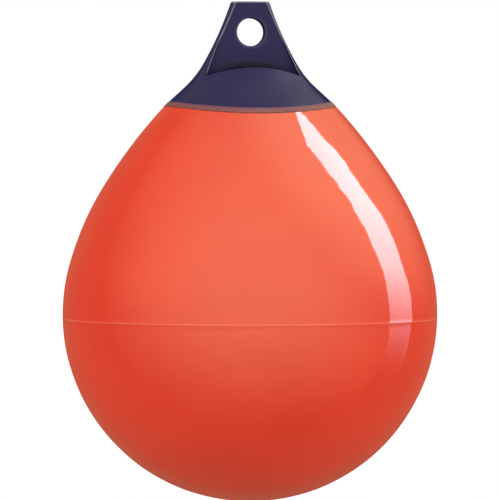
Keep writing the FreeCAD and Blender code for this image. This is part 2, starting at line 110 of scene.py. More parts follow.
def line_meets_circle(start: Vector, along: Vector, centre: Vector, radius: float) -> Vector:
    """Where a line of the section meets a circle, at the meeting nearer to its start.

    Args:
        start: a point of the line.
        along: the line's unit direction.
        centre: the circle's centre.
        radius: the circle's radius.

    Returns:
        The nearer meeting.
    """
    away = start - centre
    half = away.dot(along)
    reach = math.sqrt(half**2 - away.length_squared + radius**2)
    meetings = [start + along * (-half + sign * reach) for sign in (1, -1)]
    return min(meetings, key=lambda meeting: (meeting - start).length)


@dataclass(frozen=True)
class Arc:
    """A circular arc of the section, from one angle to another, in degrees."""

    centre: Vector
    radius: float
    start: float
    end: float

    def at(self, angle: float, inset: float = 0.0) -> Vector:
        """The arc's point at an angle, moved inwards by an inset."""
        return self.centre + section_direction(angle) * (self.radius - inset)

    def points(self, count: int, inset: float = 0.0) -> list[Vector]:
        """The points of even steps along the arc, with both ends, moved in by an inset."""
        turn = self.end - self.start
        return [self.at(self.start + turn * step / count, inset) for step in range(count + 1)]


@dataclass(frozen=True)
class BuoyOutline:
    """The shared outer surface of revolution, in metres and degrees, as the CAD frame has it."""

    body_radius: float = 184.0 * MM
    shoulder_start: float = 16.1
    shoulder_radius: float = 309.6 * MM
    neck_start: float = 32.65
    neck_radius: float = 512.0 * MM
    joint_radius: float = 81.75 * MM
    joint_drop: float = 70.0 * MM
    head_top: float = 30.0 * MM
    top_radius: float = 18.8 * MM
    flare_radius: float = 341.0 * MM
    blend_radius: float = 97.0 * MM
    skirt_slope: float = 47.5
    skirt_length: float = 23.23 * MM
    lap_depth: float = 10.3 * MM
    lap_radius: float = 488.0 * MM

    @property
    def joint(self) -> Vector:
        """The joint circle, where the neck arc meets the skirt's cone."""
        return section_point(self.joint_radius, -self.joint_drop)

    @property
    def outward(self) -> Vector:
        """The unit normal of the skirt's cone."""
        return section_direction(self.skirt_slope)

    @property
    def down_skirt(self) -> Vector:
        """The unit direction down the skirt's cone."""
        return section_direction(self.skirt_slope - 90)

    @property
    def cone_top(self) -> Vector:
        """The upper end of the skirt's cone."""
        return self.joint - self.down_skirt * self.skirt_length

    @property
    def rim(self) -> Vector:
        """The flat top's rim."""
        return section_point(self.top_radius, self.head_top)

    @property
    def neck_across(self) -> float:
        """The neck centre's distance from the axis.

        Returns:
            The distance, below zero because the centre is beyond the axis.
        """
        shoulder_gap = self.body_radius - self.shoulder_radius
        neck_gap = self.shoulder_radius - self.neck_radius
        shoulder_part = shoulder_gap * math.cos(math.radians(self.shoulder_start))
        return shoulder_part + neck_gap * math.cos(math.radians(self.neck_start))

    @property
    def neck_centre(self) -> Vector:
        """The centre of the neck arc.

        Returns:
            The centre, at the depth that ends the arc on the joint circle.
        """
        inside = self.joint_radius - self.neck_across
        drop = math.sqrt(self.neck_radius**2 - inside**2)
        return section_point(self.neck_across, -self.joint_drop - drop)

    @property
    def shoulder_centre(self) -> Vector:
        """The centre of the shoulder arc."""
        gap = self.shoulder_radius - self.neck_radius
        return self.neck_centre - section_direction(self.neck_start) * gap

    @property
    def sphere_centre(self) -> Vector:
        """The centre of the lower half, on the axis at the widest level."""
        gap = self.body_radius - self.shoulder_radius
        return self.shoulder_centre - section_direction(self.shoulder_start) * gap

    @property
    def lap_level(self) -> float:
        """The height of the lap's edge at front and back, its lowest."""
        return -self.joint_drop - self.lap_depth

    def sphere(self) -> Arc:
        """The lower half, from the bottom pole up to the shoulder."""
        return Arc(self.sphere_centre, self.body_radius, -90, self.shoulder_start)

    def shoulder(self) -> Arc:
        """The arc between the lower half and the neck."""
        start, end = self.shoulder_start, self.neck_start
        return Arc(self.shoulder_centre, self.shoulder_radius, start, end)

    def neck(self) -> Arc:
        """The arc from the shoulder up to the joint circle."""
        end = angle_of(self.joint - self.neck_centre)
        return Arc(self.neck_centre, self.neck_radius, self.neck_start, end)

    def neck_above(self, level: float) -> Arc:
        """The part of the neck's arc that lies above a level."""
        neck = self.neck()
        return Arc(neck.centre, neck.radius, self.neck_angle(level, self.neck_radius), neck.end)

    def blend(self) -> Arc:
        """The hollow curve between the cone and the flare.

        Returns:
            The arc, from the cone up to the flare.
        """
        centre = self.cone_top + self.outward * self.blend_radius
        touch = angle_of(centre - self.flare_centre())
        return Arc(centre, self.blend_radius, 180 + self.skirt_slope, touch)

    def flare_centre(self) -> Vector:
        """The centre of the flare, which runs from the blend up to the flat top's rim.

        Returns:
            The centre, outside the head.
        """
        blend_centre = self.cone_top + self.outward * self.blend_radius
        gap = self.flare_radius - self.blend_radius
        return circles_meet(self.rim, self.flare_radius, blend_centre, gap)

    def flare(self) -> Arc:
        """The hollow curve of the upper head, from the blend up to the rim."""
        centre = self.flare_centre()
        return Arc(centre, self.flare_radius, self.blend().end, angle_of(self.rim - centre))

    def neck_angle(self, level: float, radius: float) -> float:
        """The angle at which a circle about the neck's centre is at a level."""
        return math.degrees(math.asin((level - self.neck_centre.z) / radius))

    def lap_height(self, aside: float) -> float:
        """The height of the lap's arched edge at a distance in X from the front's middle."""
        return self.lap_level + self.lap_radius - math.sqrt(self.lap_radius**2 - aside**2)

    def lap_edge(self, rise: float, reach: float, steps: int) -> list[Vector]:
        """The lap's arched edge from the left to the right, raised, as far as a reach each way."""
        places = [reach * (2 * step / steps - 1) for step in range(steps + 1)]
        return [section_point(x, self.lap_height(x) + rise) for x in places]


# ------------------------------------------------------------------------------- modelling by hand


class Pick(Enum):
    """What is selected in edit mode."""

    POINTS = "VERT"
    EDGES = "EDGE"
    FACES = "FACE"


class Join(Enum):
    """What a solid tool does to a piece."""

    CUT = "DIFFERENCE"
    ADD = "UNION"
    KEEP = "INTERSECT"


def deselect_all() -> None:
    """Leaves nothing selected and no piece in edit mode."""
    if bpy.context.object is not None and bpy.context.object.mode != "OBJECT":
        bpy.ops.object.mode_set(mode="OBJECT")
    bpy.ops.object.select_all(action="DESELECT")


def activate(piece: Piece) -> None:
    """Makes a piece the only selected one and the active one.

    Args:
        piece: the piece.
    """
    deselect_all()
    piece.select_set(True)
    bpy.context.view_layer.objects.active = piece


def edit(piece: Piece, pick: Pick = Pick.POINTS) -> None:
    """Opens a piece in edit mode with nothing selected.

    Args:
        piece: the piece to edit.
        pick: what will be selected.
    """
    activate(piece)
    bpy.ops.object.mode_set(mode="EDIT")
    bpy.ops.mesh.select_mode(type=pick.value)
    bpy.ops.mesh.select_all(action="DESELECT")


def select_points(piece: Piece, test: Test) -> None:
    """Selects the points of the piece in edit mode whose place passes a test.

    Args:
        piece: the piece that is open in edit mode.
        test: says whether a place is wanted.
    """
    bpy.ops.mesh.select_mode(type=Pick.POINTS.value)
    bpy.ops.object.mode_set(mode="OBJECT")
    for vertex in piece.data.vertices:
        vertex.select = test(vertex.co)
    bpy.ops.object.mode_set(mode="EDIT")


def trace(name: str, points: Sequence[Vector], closed: bool) -> Piece:
    """Starts a piece as a point and extrudes it along a line of points, one step after another.

    Args:
        name: the new piece's name.
        points: the line's points.
        closed: whether the line ends where it starts.

    Returns:
        The piece, an open or closed line of edges, left in edit mode and all selected.
    """
    deselect_all()
    bpy.ops.mesh.primitive_plane_add(size=MM, location=(0, 0, 0))
    piece = bpy.context.object
    piece.name = name
    piece.data.name = name
    bpy.ops.object.mode_set(mode="EDIT")
    bpy.ops.mesh.select_mode(type=Pick.POINTS.value)
    bpy.ops.mesh.select_all(action="SELECT")
    bpy.ops.mesh.merge(type="CENTER")
    bpy.ops.mesh.select_all(action="SELECT")
    bpy.ops.transform.translate(value=points[0])
    path = list(points) + ([points[0]] if closed else [])
    for here, there in zip(path, path[1:]):
        bpy.ops.mesh.extrude_region_move(TRANSFORM_OT_translate={"value": there - here})
    bpy.ops.mesh.select_all(action="SELECT")
    bpy.ops.mesh.remove_doubles(threshold=MERGE_DISTANCE)
    return piece


def tidy_mesh(piece: Piece) -> None:
    """Merges doubles, turns every face outwards and smooths the shading between flat edges.

    Args:
        piece: the piece.
    """
    edit(piece)
    bpy.ops.mesh.select_all(action="SELECT")
    bpy.ops.mesh.remove_doubles(threshold=MERGE_DISTANCE)
    bpy.ops.mesh.dissolve_degenerate(threshold=MERGE_DISTANCE)
    bpy.ops.mesh.select_all(action="SELECT")
    bpy.ops.mesh.normals_make_consistent(inside=False)
    bpy.ops.object.mode_set(mode="OBJECT")
    activate(piece)
    bpy.ops.object.shade_smooth_by_angle(angle=SMOOTH_ANGLE)


def turned(name: str, points: Sequence[Vector], closed: bool, steps: int) -> Piece:
    """A piece turned about Z from its half section.

    Args:
        name: the new piece's name.
        points: the half section; an open one starts and ends on the axis.
        closed: whether the half section is a closed ring away from the axis.
        steps: number of steps round.

    Returns:
        The turned piece.
    """
    piece = trace(name, points, closed)
    bpy.ops.mesh.spin(steps=steps, angle=FULL_TURN, center=(0, 0, 0), axis=(0, 0, 1))
    tidy_mesh(piece)
    return piece


def prism(name: str, points: Sequence[Vector], near: float, far: float) -> Piece:
    """A straight-sided solid along Y over an outline in the XZ plane.

    Args:
        name: the new piece's name.
        points: the closed outline.
        near: the first end's Y.
        far: the other end's Y.

    Returns:
        The solid.
    """
    piece = trace(name, points, closed=True)
    bpy.ops.mesh.edge_face_add()
    bpy.ops.transform.translate(value=(0, near, 0))
    bpy.ops.mesh.extrude_region_move(TRANSFORM_OT_translate={"value": (0, far - near, 0)})
    tidy_mesh(piece)
    return piece


def place(piece: Piece, origin: Vector, tilt: float) -> None:
    """Tilts a piece about X, moves it to its place and puts that place in its mesh.

    Args:
        piece: the piece, made about its own Z at the origin.
        origin: where its own origin goes.
        tilt: degrees about X.
    """
    activate(piece)
    piece.rotation_euler = (math.radians(tilt), 0, 0)
    piece.location = origin
    bpy.ops.object.transform_apply(location=True, rotation=True, scale=True)


def apply_modifier(piece: Piece, kind: str, **settings: object) -> None:
    """Adds a modifier to a piece, sets it and applies it.

    Args:
        piece: the piece.
        kind: the modifier's type.
        settings: its values by name.
    """
    activate(piece)
    bpy.ops.object.modifier_add(type=kind)
    modifier = piece.modifiers[-1]
    for name, value in settings.items():
        setattr(modifier, name, value)
    bpy.ops.object.modifier_apply(modifier=modifier.name)


def combine(piece: Piece, tool: Piece, how: Join) -> None:
    """Cuts, joins or intersects a piece with a solid tool, which is then removed."""
    apply_modifier(piece, "BOOLEAN", operation=how.value, object=tool, solver="EXACT")
    bpy.data.objects.remove(tool, do_unlink=True)


def swell(piece: Piece, group: str, size: float, height: float) -> None:
    """Moves a piece's surface in and out by a fraction of a millimetre, as moulded vinyl is.

    Args:
        piece: the piece.
        group: the vertex group that says where.
        size: length of one swelling.
        height: height from the lowest to the highest.
    """
    texture = bpy.data.textures.new(piece.name + "_swell", "CLOUDS")
    texture.noise_scale = size
    texture.noise_depth = 1
    settings = {
        "texture": texture,
        "texture_coords": "LOCAL",
        "strength": height,
        "mid_level": 0.5,
        "vertex_group": group,
    }
    apply_modifier(piece, "DISPLACE", **settings)


def weigh(piece: Piece, name: str, weight: Callable[[Vector], float]) -> None:
    """Gives a piece a vertex group with a weight that depends on the place.

    Args:
        piece: the piece.
        name: the group's name.
        weight: the weight from 0 to 1 at a place.
    """
    group = piece.vertex_groups.new(name=name)
    for vertex in piece.data.vertices:
        group.add([vertex.index], weight(vertex.co), "REPLACE")


def enlist(piece: Piece, node: str, material: Material) -> None:
    """Dresses a finished piece and puts it in a CAD node's stead.

    Args:
        piece: the finished piece.
        node: the CAD node that it stands for.
        material: its finish.
    """
    piece.data.materials.clear()
    piece.data.materials.append(material)
    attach(piece, BODY_NAME)
    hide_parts(node)
    LOG.info("%s: %d faces", piece.name, len(piece.data.polygons))


# ----------------------------------------------------------------------------------------- finishes


# the display's colour curve
DISPLAY_TOP = 255
CURVE_FOOT = 0.04045
CURVE_FOOT_SLOPE = 12.92
CURVE_LIFT = 0.055
CURVE_POWER = 2.4


def linear(value: int) -> float:
    """One channel of a colour, from display to linear.

    Args:
        value: the channel, from 0 to 255.

    Returns:
        The linear channel, from 0 to 1.
    """
    part = value / DISPLAY_TOP
    curve = ((part + CURVE_LIFT) / (1 + CURVE_LIFT)) ** CURVE_POWER
    return part / CURVE_FOOT_SLOPE if part <= CURVE_FOOT else curve


def shade(red: int, green: int, blue: int) -> Colour:
    """A shader's linear colour, fully opaque, from a display colour's channels."""
    return (linear(red), linear(green), linear(blue), 1.0)


@dataclass(frozen=True)
class Cloud:
    """A cloudy pattern: its cells for each metre, its detail, and the span of it that shows."""

    scale: float
    detail: float = 2.0
    rough: float = 0.5
    low: float = 0.3
    high: float = 0.7


class Wiring:
    """A node tree, with short calls for the nodes that are used here."""

    def __init__(self, tree: bpy.types.NodeTree) -> None:
        """Takes the tree that nodes are added to."""
        self.tree = tree

    def add(self, kind: str, **settings: object) -> Node:
        """Adds a node and sets its properties.

        Args:
            kind: the node's type.
            settings: its properties by name.

        Returns:
            The node.
        """
        node = self.tree.nodes.new(kind)
        for name, value in settings.items():
            setattr(node, name, value)
        return node

    def feed(self, socket: Socket, value: object) -> None:
        """Links an output to a socket, or sets the socket to a plain value.

        Args:
            socket: the socket.
            value: the output or the plain value.
        """
        if isinstance(value, Socket):
            self.tree.links.new(value, socket)
        else:
            socket.default_value = value

    def feed_row(self, sockets: Sequence[Socket], *values: object) -> None:
        """Feeds a node's sockets in turn, with an output or a plain value for each."""
        for socket, value in zip(sockets, values):
            self.feed(socket, value)

    def math(self, operation: str, *values: object) -> Socket:
        """A sum, product or other function.

        Args:
            operation: the function's name.
            values: one to three outputs or numbers.

        Returns:
            The result.
        """
        node = self.add("ShaderNodeMath", operation=operation)
        self.feed_row(node.inputs, *values)
        return node.outputs[0]

    def towards(self, way: Socket, direction: Vector) -> Socket:
        """How far a way points in a direction.

        Args:
            way: a unit vector.
            direction: another.

        Returns:
            Their dot product.
        """
        node = self.add("ShaderNodeVectorMath", operation="DOT_PRODUCT")
        self.feed_row(node.inputs, way, tuple(direction))
        return node.outputs["Value"]

    def spread(
        self, value: Socket, low: float, high: float, to_low: float = 0.0, to_high: float = 1.0
    ) -> Socket:
        """A value moved smoothly from one range to another, and held at its ends.

        Args:
            value: the value.
            low: the first range's start.
            high: the first range's end.
            to_low: what the start becomes.
            to_high: what the end becomes.

        Returns:
            The moved value.
        """
        node = self.add("ShaderNodeMapRange", interpolation_type="SMOOTHSTEP")
        self.feed_row(node.inputs, value, low, high, to_low, to_high)
        return node.outputs[0]

    def mix(self, share: Socket, one: object, other: object) -> Socket:
        """Two colours mixed.

        Args:
            share: how much of the other colour there is.
            one: the first colour.
            other: the other colour.

        Returns:
            The mixed colour.
        """
        node = self.add("ShaderNodeMix", data_type="RGBA")
        self.feed(node.inputs["Factor"], share)
        self.feed_row([socket for socket in node.inputs if socket.type == "RGBA"], one, other)
        return next(socket for socket in node.outputs if socket.type == "RGBA")


class NodeSheet(Wiring):
    """A material's wiring, read by place on the piece."""

    def __init__(self, name: str) -> None:
        """Starts a material with its surface shader.

        Args:
            name: the material's name.
        """
        self.material = bpy.data.materials.new(name)
        self.material.use_nodes = True
        super().__init__(self.material.node_tree)
        self.surface = self.tree.nodes["Principled BSDF"]
        self.place = self.add("ShaderNodeTexCoord").outputs["Object"]

    def set(self, name: str, value: object) -> None:
        """Sets or links one of the surface shader's own sockets."""
        self.feed(self.surface.inputs[name], value)

    def output(self, shader: Node) -> None:
        """Puts another shader in the surface shader's stead."""
        self.feed(self.tree.nodes["Material Output"].inputs["Surface"], shader.outputs[0])

    def axes(self) -> Sequence[Socket]:
        """The place's X, Y and Z.

        Returns:
            The three values.
        """
        node = self.add("ShaderNodeSeparateXYZ")
        self.feed(node.inputs[0], self.place)
        return node.outputs

    def join_axes(self, *values: object) -> Socket:
        """A vector of three values.

        Args:
            values: its X, Y and Z.

        Returns:
            The vector.
        """
        node = self.add("ShaderNodeCombineXYZ")
        self.feed_row(node.inputs, *values)
        return node.outputs[0]

    def noise(self, cloud: Cloud, at: Socket | None = None) -> Socket:
        """A pattern's own noise, from 0 to 1.

        Args:
            cloud: the pattern.
            at: where it is read; the place itself if left out.

        Returns:
            The noise.
        """
        node = self.add("ShaderNodeTexNoise")
        self.feed(node.inputs["Vector"], self.place if at is None else at)
        self.feed(node.inputs["Scale"], cloud.scale)
        self.feed(node.inputs["Detail"], cloud.detail)
        self.feed(node.inputs["Roughness"], cloud.rough)
        return node.outputs["Fac"]

    def cloudy(
        self, cloud: Cloud, low: float = 0.0, high: float = 1.0, at: Socket | None = None
    ) -> Socket:
        """The span of a pattern that shows, read at a place and moved to a range."""
        return self.spread(self.noise(cloud, at), cloud.low, cloud.high, low, high)

    def fade_gloss(self, gloss: float, glancing: float, grazing: float) -> None:
        """Fades a gloss where the surface is seen aslant: from glancing till gone at grazing."""
        aslant = self.add("ShaderNodeLayerWeight").outputs["Facing"]
        self.set("Specular IOR Level", self.spread(aslant, glancing, grazing, gloss, 0.0))

    def bump(self, *layers: tuple[Socket, float]) -> None:
        """Gives the surface a fine relief.

        Args:
            layers: pairs of a height from 0 to 1 and its depth in metres.
        """
        normal: Socket | None = None
        for height, depth in layers:
            node = self.add("ShaderNodeBump")
            self.feed(node.inputs["Strength"], 1.0)
            self.feed(node.inputs["Distance"], depth)
            self.feed(node.inputs["Height"], height)
            if normal is not None:
                self.feed(node.inputs["Normal"], normal)
            normal = node.outputs["Normal"]
        self.set("Normal", normal)


@dataclass(frozen=True)
class EnvelopeVinyl:
    """Taut, glossy red vinyl, with faint cloudiness and a very fine orange peel.

    Its gloss fades towards the rim, between the glancing and the grazing slant.
    """

    red: Colour = shade(240, 55, 32)
    deep: Colour = shade(236, 52, 31)
    light: Colour = shade(243, 58, 34)
    parting: Colour = shade(250, 102, 78)
    parting_core: float = 0.3 * MM
    parting_half_width: float = 0.8 * MM
    parting_share: float = 0.8
    drifts: Cloud = Cloud(9, 3, 0.5, 0.35, 0.65)
    mottle: Cloud = Cloud(120, 4, 0.6)
    mottle_share: float = 0.35
    smears: Cloud = Cloud(26, 4, 0.55, 0.3, 0.75)
    smooth: float = 0.035
    smeared: float = 0.065
    ripples: Cloud = Cloud(26)
    ripple_depth: float = 0.32 * MM
    peel: Cloud = Cloud(900)
    peel_depth: float = 0.004 * MM
    ior: float = 1.8
    gloss: float = 0.5
    glancing: float = 0.4
    grazing: float = 0.93

    def material(self, parting_level: float) -> Material:
        """Makes the finished material.

        Args:
            parting_level: the height of the mould's parting line, along which the colour is paler.

        Returns:
            The material.
        """
        sheet = NodeSheet("envelope_vinyl")
        base = sheet.mix(sheet.cloudy(self.drifts), self.deep, self.light)
        mottle = sheet.math("MULTIPLY", sheet.cloudy(self.mottle), self.mottle_share)
        base = sheet.mix(mottle, base, self.red)
        _, _, up = sheet.axes()
        off = sheet.math("ABSOLUTE", sheet.math("SUBTRACT", up, parting_level))
        line = sheet.spread(
            off, self.parting_core, self.parting_half_width, self.parting_share, 0.0
        )
        sheet.set("Base Color", sheet.mix(line, base, self.parting))
        sheet.set("Roughness", sheet.cloudy(self.smears, self.smooth, self.smeared))
        sheet.set("IOR", self.ior)
        sheet.fade_gloss(self.gloss, self.glancing, self.grazing)
        ripples = (sheet.noise(self.ripples), self.ripple_depth)
        sheet.bump(ripples, (sheet.noise(self.peel), self.peel_depth))
        return sheet.material


@dataclass(frozen=True)
class HeadVinyl:
    """Thick moulded navy vinyl, satin, with a painted highlight on its edges and painted shade over
    the sills.
    """

    sill_centre: float
    sill_radius: float
    navy: Colour = shade(45, 41, 78)
    light: Colour = shade(49, 45, 84)
    # painted highlight: the pale colour put on the moulded edges
    highlight_colour: Colour = shade(150, 150, 160)
    # painted shade: the dark colour put in the hollows over the sills
    hollow: Colour = shade(24, 22, 32)
    flow: Cloud = Cloud(22, 4, 0.6)
    haze: Cloud = Cloud(60, 5, 0.6, 0.3, 0.75)
    smooth: float = 0.36
    hazy: float = 0.46
    grain: Cloud = Cloud(70, 3)
    grain_depth: float = 0.08 * MM
    pores: Cloud = Cloud(1300)
    pore_depth: float = 0.01 * MM
    gloss: float = 0.1
    glancing: float = 0.6
    grazing: float = 0.8
    blur: float = 3.0 * MM
    # where the painted highlight lies on the edges, and how strong it is
    edge_blunt: float = 0.509
    edge_sharp: float = 0.529
    highlight_share: float = 0.65
    highlight_height: float = 1.5 * MM
    # where the painted shade lies in the hollows over the sills, and how dark it is
    shade_share: float = 0.9
    hollow_height: float = 9.0 * MM
    hollow_reach: float = 21.0 * MM
    hollow_core: float = 16.0 * MM
    hollow_half_width: float = 40.0 * MM

    def above_sill(self, sheet: NodeSheet) -> Socket:
        """A place's distance from the centre of the sills' arc, seen from the front.

        Args:
            sheet: the material's wiring.

        Returns:
            The distance.
        """
        across, _, up = sheet.axes()
        spot = sheet.join_axes(across, 0.0, sheet.math("SUBTRACT", up, self.sill_centre))
        reach = sheet.add("ShaderNodeVectorMath", operation="LENGTH")
        sheet.feed(reach.inputs[0], spot)
        return reach.outputs["Value"]

    def painted_highlight(self, sheet: NodeSheet) -> Socket:
        """How much painted highlight lies on the moulded edges above the sills.

        Args:
            sheet: the material's wiring.

        Returns:
            The painted highlight's share, from 0 to 1.
        """
        edge = sheet.add("ShaderNodeNewGeometry").outputs["Pointiness"]
        sharp = sheet.spread(edge, self.edge_blunt, self.edge_sharp, 0.0, self.highlight_share)
        low = self.sill_radius + self.highlight_height
        high = sheet.spread(self.above_sill(sheet), low, low + self.blur)
        return sheet.math("MULTIPLY", sharp, high)

    def painted_shade(self, sheet: NodeSheet) -> Socket:
        """How much painted shade there is in the hollow between a sill and the plate.

        Args:
            sheet: the material's wiring.

        Returns:
            The painted shade, from 0 to 1.
        """
        across, back, _ = sheet.axes()
        low, top = self.sill_radius + self.blur, self.sill_radius + self.hollow_height
        rise = sheet.spread(self.above_sill(sheet), low, top, self.shade_share, 0.0)
        near, far = self.hollow_reach - self.blur, self.hollow_reach
        inside = sheet.spread(sheet.math("ABSOLUTE", back), near, far, 1.0, 0.0)
        wide = sheet.math("ABSOLUTE", across)
        middle = sheet.spread(wide, self.hollow_core, self.hollow_half_width, 1.0, 0.0)
        return sheet.math("MULTIPLY", sheet.math("MULTIPLY", rise, inside), middle)

    def material(self) -> Material:
        """Makes the finished material.

        Returns:
            The material.
        """
        sheet = NodeSheet("head_vinyl")
        base = sheet.mix(sheet.cloudy(self.flow), self.navy, self.light)
        # painted shade darkens the hollows over the sills
        base = sheet.mix(self.painted_shade(sheet), base, self.hollow)
        # a painted highlight pales the moulded edges above the sills
        sheet.set("Base Color", sheet.mix(self.painted_highlight(sheet), base, self.highlight_colour))
        sheet.set("Roughness", sheet.cloudy(self.haze, self.smooth, self.hazy))
        sheet.fade_gloss(self.gloss, self.glancing, self.grazing)
        grain = (sheet.noise(self.grain), self.grain_depth)
        sheet.bump(grain, (sheet.noise(self.pores), self.pore_depth))
        return sheet.material


@dataclass(frozen=True)
class LapVinyl:
    """The thin lap of red vinyl over the navy skirt, where the navy shows through in streaks."""

    outline: BuoyOutline
    height: float
    red: Colour = shade(150, 80, 74)
    dark: Colour = shade(92, 54, 66)
    pale: Colour = shade(172, 104, 98)
    mauve: Colour = shade(132, 78, 100)
    foot: Colour = shade(96, 56, 50)
    navy: Colour = shade(58, 48, 80)
    streaks: Cloud = Cloud(9, 3, 0.6, 0.38, 0.62)
    streaks_round: float = 34.0
    streak_share: float = 0.6
    streak_depth: float = 0.12 * MM
    blotches: Cloud = Cloud(240, 4, 0.65, 0.38, 0.64)
    blotch_share: float = 0.45
    blotch_depth: float = 0.1 * MM
    fray: Cloud = Cloud(330, 3, 0.6)
    fray_height: float = 0.5
    mauve_ramp: Ramp = (0.35, 0.75, 0.0, 0.65)
    foot_ramp: Ramp = (0.0, 0.24, 0.8, 0.0)
    navy_ramp: Ramp = (0.8, 0.98, 0.0, 0.85)
    rough: float = 0.38
    gloss: float = 0.25

    def rise(self, sheet: NodeSheet) -> Socket:
        """How far up the lap a place is.

        Args:
            sheet: the material's wiring.

        Returns:
            The rise: 0 at the lower edge and 1 at the upper one.
        """
        across, _, up = sheet.axes()
        arch = 2 * self.outline.lap_radius
        bowed = sheet.math("DIVIDE", sheet.math("MULTIPLY", across, across), arch)
        level = self.outline.lap_level
        above = sheet.math("SUBTRACT", sheet.math("SUBTRACT", up, level), bowed)
        return sheet.math("DIVIDE", above, self.height)

    def material(self) -> Material:
        """Makes the finished material.

        Returns:
            The material.
        """
        sheet = NodeSheet("lap_vinyl")
        across, back, up = sheet.axes()
        turn = sheet.math("ARCTAN2", back, across)
        around = sheet.join_axes(sheet.math("MULTIPLY", turn, self.streaks_round), 0.0, up)
        streaks = sheet.cloudy(self.streaks, at=around)
        blotches = sheet.cloudy(self.blotches)
        fray = sheet.noise(self.fray)
        frayed = sheet.math("MULTIPLY_ADD", fray, self.fray_height, -self.fray_height / 2)
        rise = sheet.math("ADD", self.rise(sheet), frayed)
        coats = (
            (sheet.math("MULTIPLY", streaks, self.streak_share), self.dark),
            (sheet.math("MULTIPLY", blotches, self.blotch_share), self.pale),
            (sheet.spread(rise, *self.mauve_ramp), self.mauve),
            (sheet.spread(rise, *self.foot_ramp), self.foot),
            (sheet.spread(rise, *self.navy_ramp), self.navy),
        )
        base: object = self.red
        for share, colour in coats:
            base = sheet.mix(share, base, colour)
        sheet.set("Base Color", base)
        sheet.set("Roughness", self.rough)
        sheet.set("Specular IOR Level", self.gloss)
        sheet.bump((streaks, self.streak_depth), (blotches, self.blotch_depth))
        return sheet.material


@dataclass(frozen=True)
class SmallFinish:
    """A small fitting's finish: two colours in patches, a roughness for each, and a fine relief."""

    name: str
    clean: Colour
    patch: Colour
    patches: Cloud
    clean_rough: float
    patch_rough: float
    relief: Cloud
    relief_depth: float
    metal: float = 0.0

    def material(self) -> Material:
        """Makes the finished material.

        Returns:
            The material.
        """
        sheet = NodeSheet(self.name)
        patches = sheet.cloudy(self.patches)
        sheet.set("Base Color", sheet.mix(patches, self.clean, self.patch))
        sheet.set("Metallic", self.metal)
        rough: object = self.clean_rough
        if self.patch_rough != self.clean_rough:
            rough = sheet.spread(patches, 0.0, 1.0, self.clean_rough, self.patch_rough)
        sheet.set("Roughness", rough)
        sheet.bump((sheet.noise(self.relief), self.relief_depth))
        return sheet.material


@dataclass(frozen=True)
class TurnedBrass(SmallFinish):
    """Machined brass with dull patches."""

    name: str = "bush_brass"
    clean: Colour = shade(214, 178, 96)
    patch: Colour = shade(168, 132, 68)
    patches: Cloud = Cloud(420, 4, 0.6, 0.4, 0.7)
    clean_rough: float = 0.22
    patch_rough: float = 0.42
    relief: Cloud = Cloud(2600)
    relief_depth: float = 0.012 * MM
    metal: float = 1.0


@dataclass(frozen=True)
class SealRubber(SmallFinish):
    """Matt black rubber with a dusty bloom."""

    name: str = "washer_rubber"
    clean: Colour = shade(26, 26, 27)
    patch: Colour = shade(52, 52, 53)
    patches: Cloud = Cloud(700, 4, 0.6, 0.45, 0.75)
    clean_rough: float = 0.72
    patch_rough: float = 0.72
    relief: Cloud = Cloud(1500, 3)
    relief_depth: float = 0.03 * MM


@dataclass(frozen=True)
class ScrewPlastic(SmallFinish):
    """Moulded black plastic, lightly scuffed."""

    name: str = "screw_plastic"
    clean: Colour = shade(34, 34, 38)
    patch: Colour = shade(66, 66, 70)
    patches: Cloud = Cloud(520, 5, 0.7, 0.55, 0.8)
    clean_rough: float = 0.3
    patch_rough: float = 0.5
    relief: Cloud = Cloud(1200)
    relief_depth: float = 0.01 * MM


# ----------------------------------------------------------------------------------- sub-assemblies


BEAD_PROFILE = ((-1.0, 0.0), (-0.55, 0.7), (0.0, 1.0), (0.55, 0.7), (1.0, 0.0))


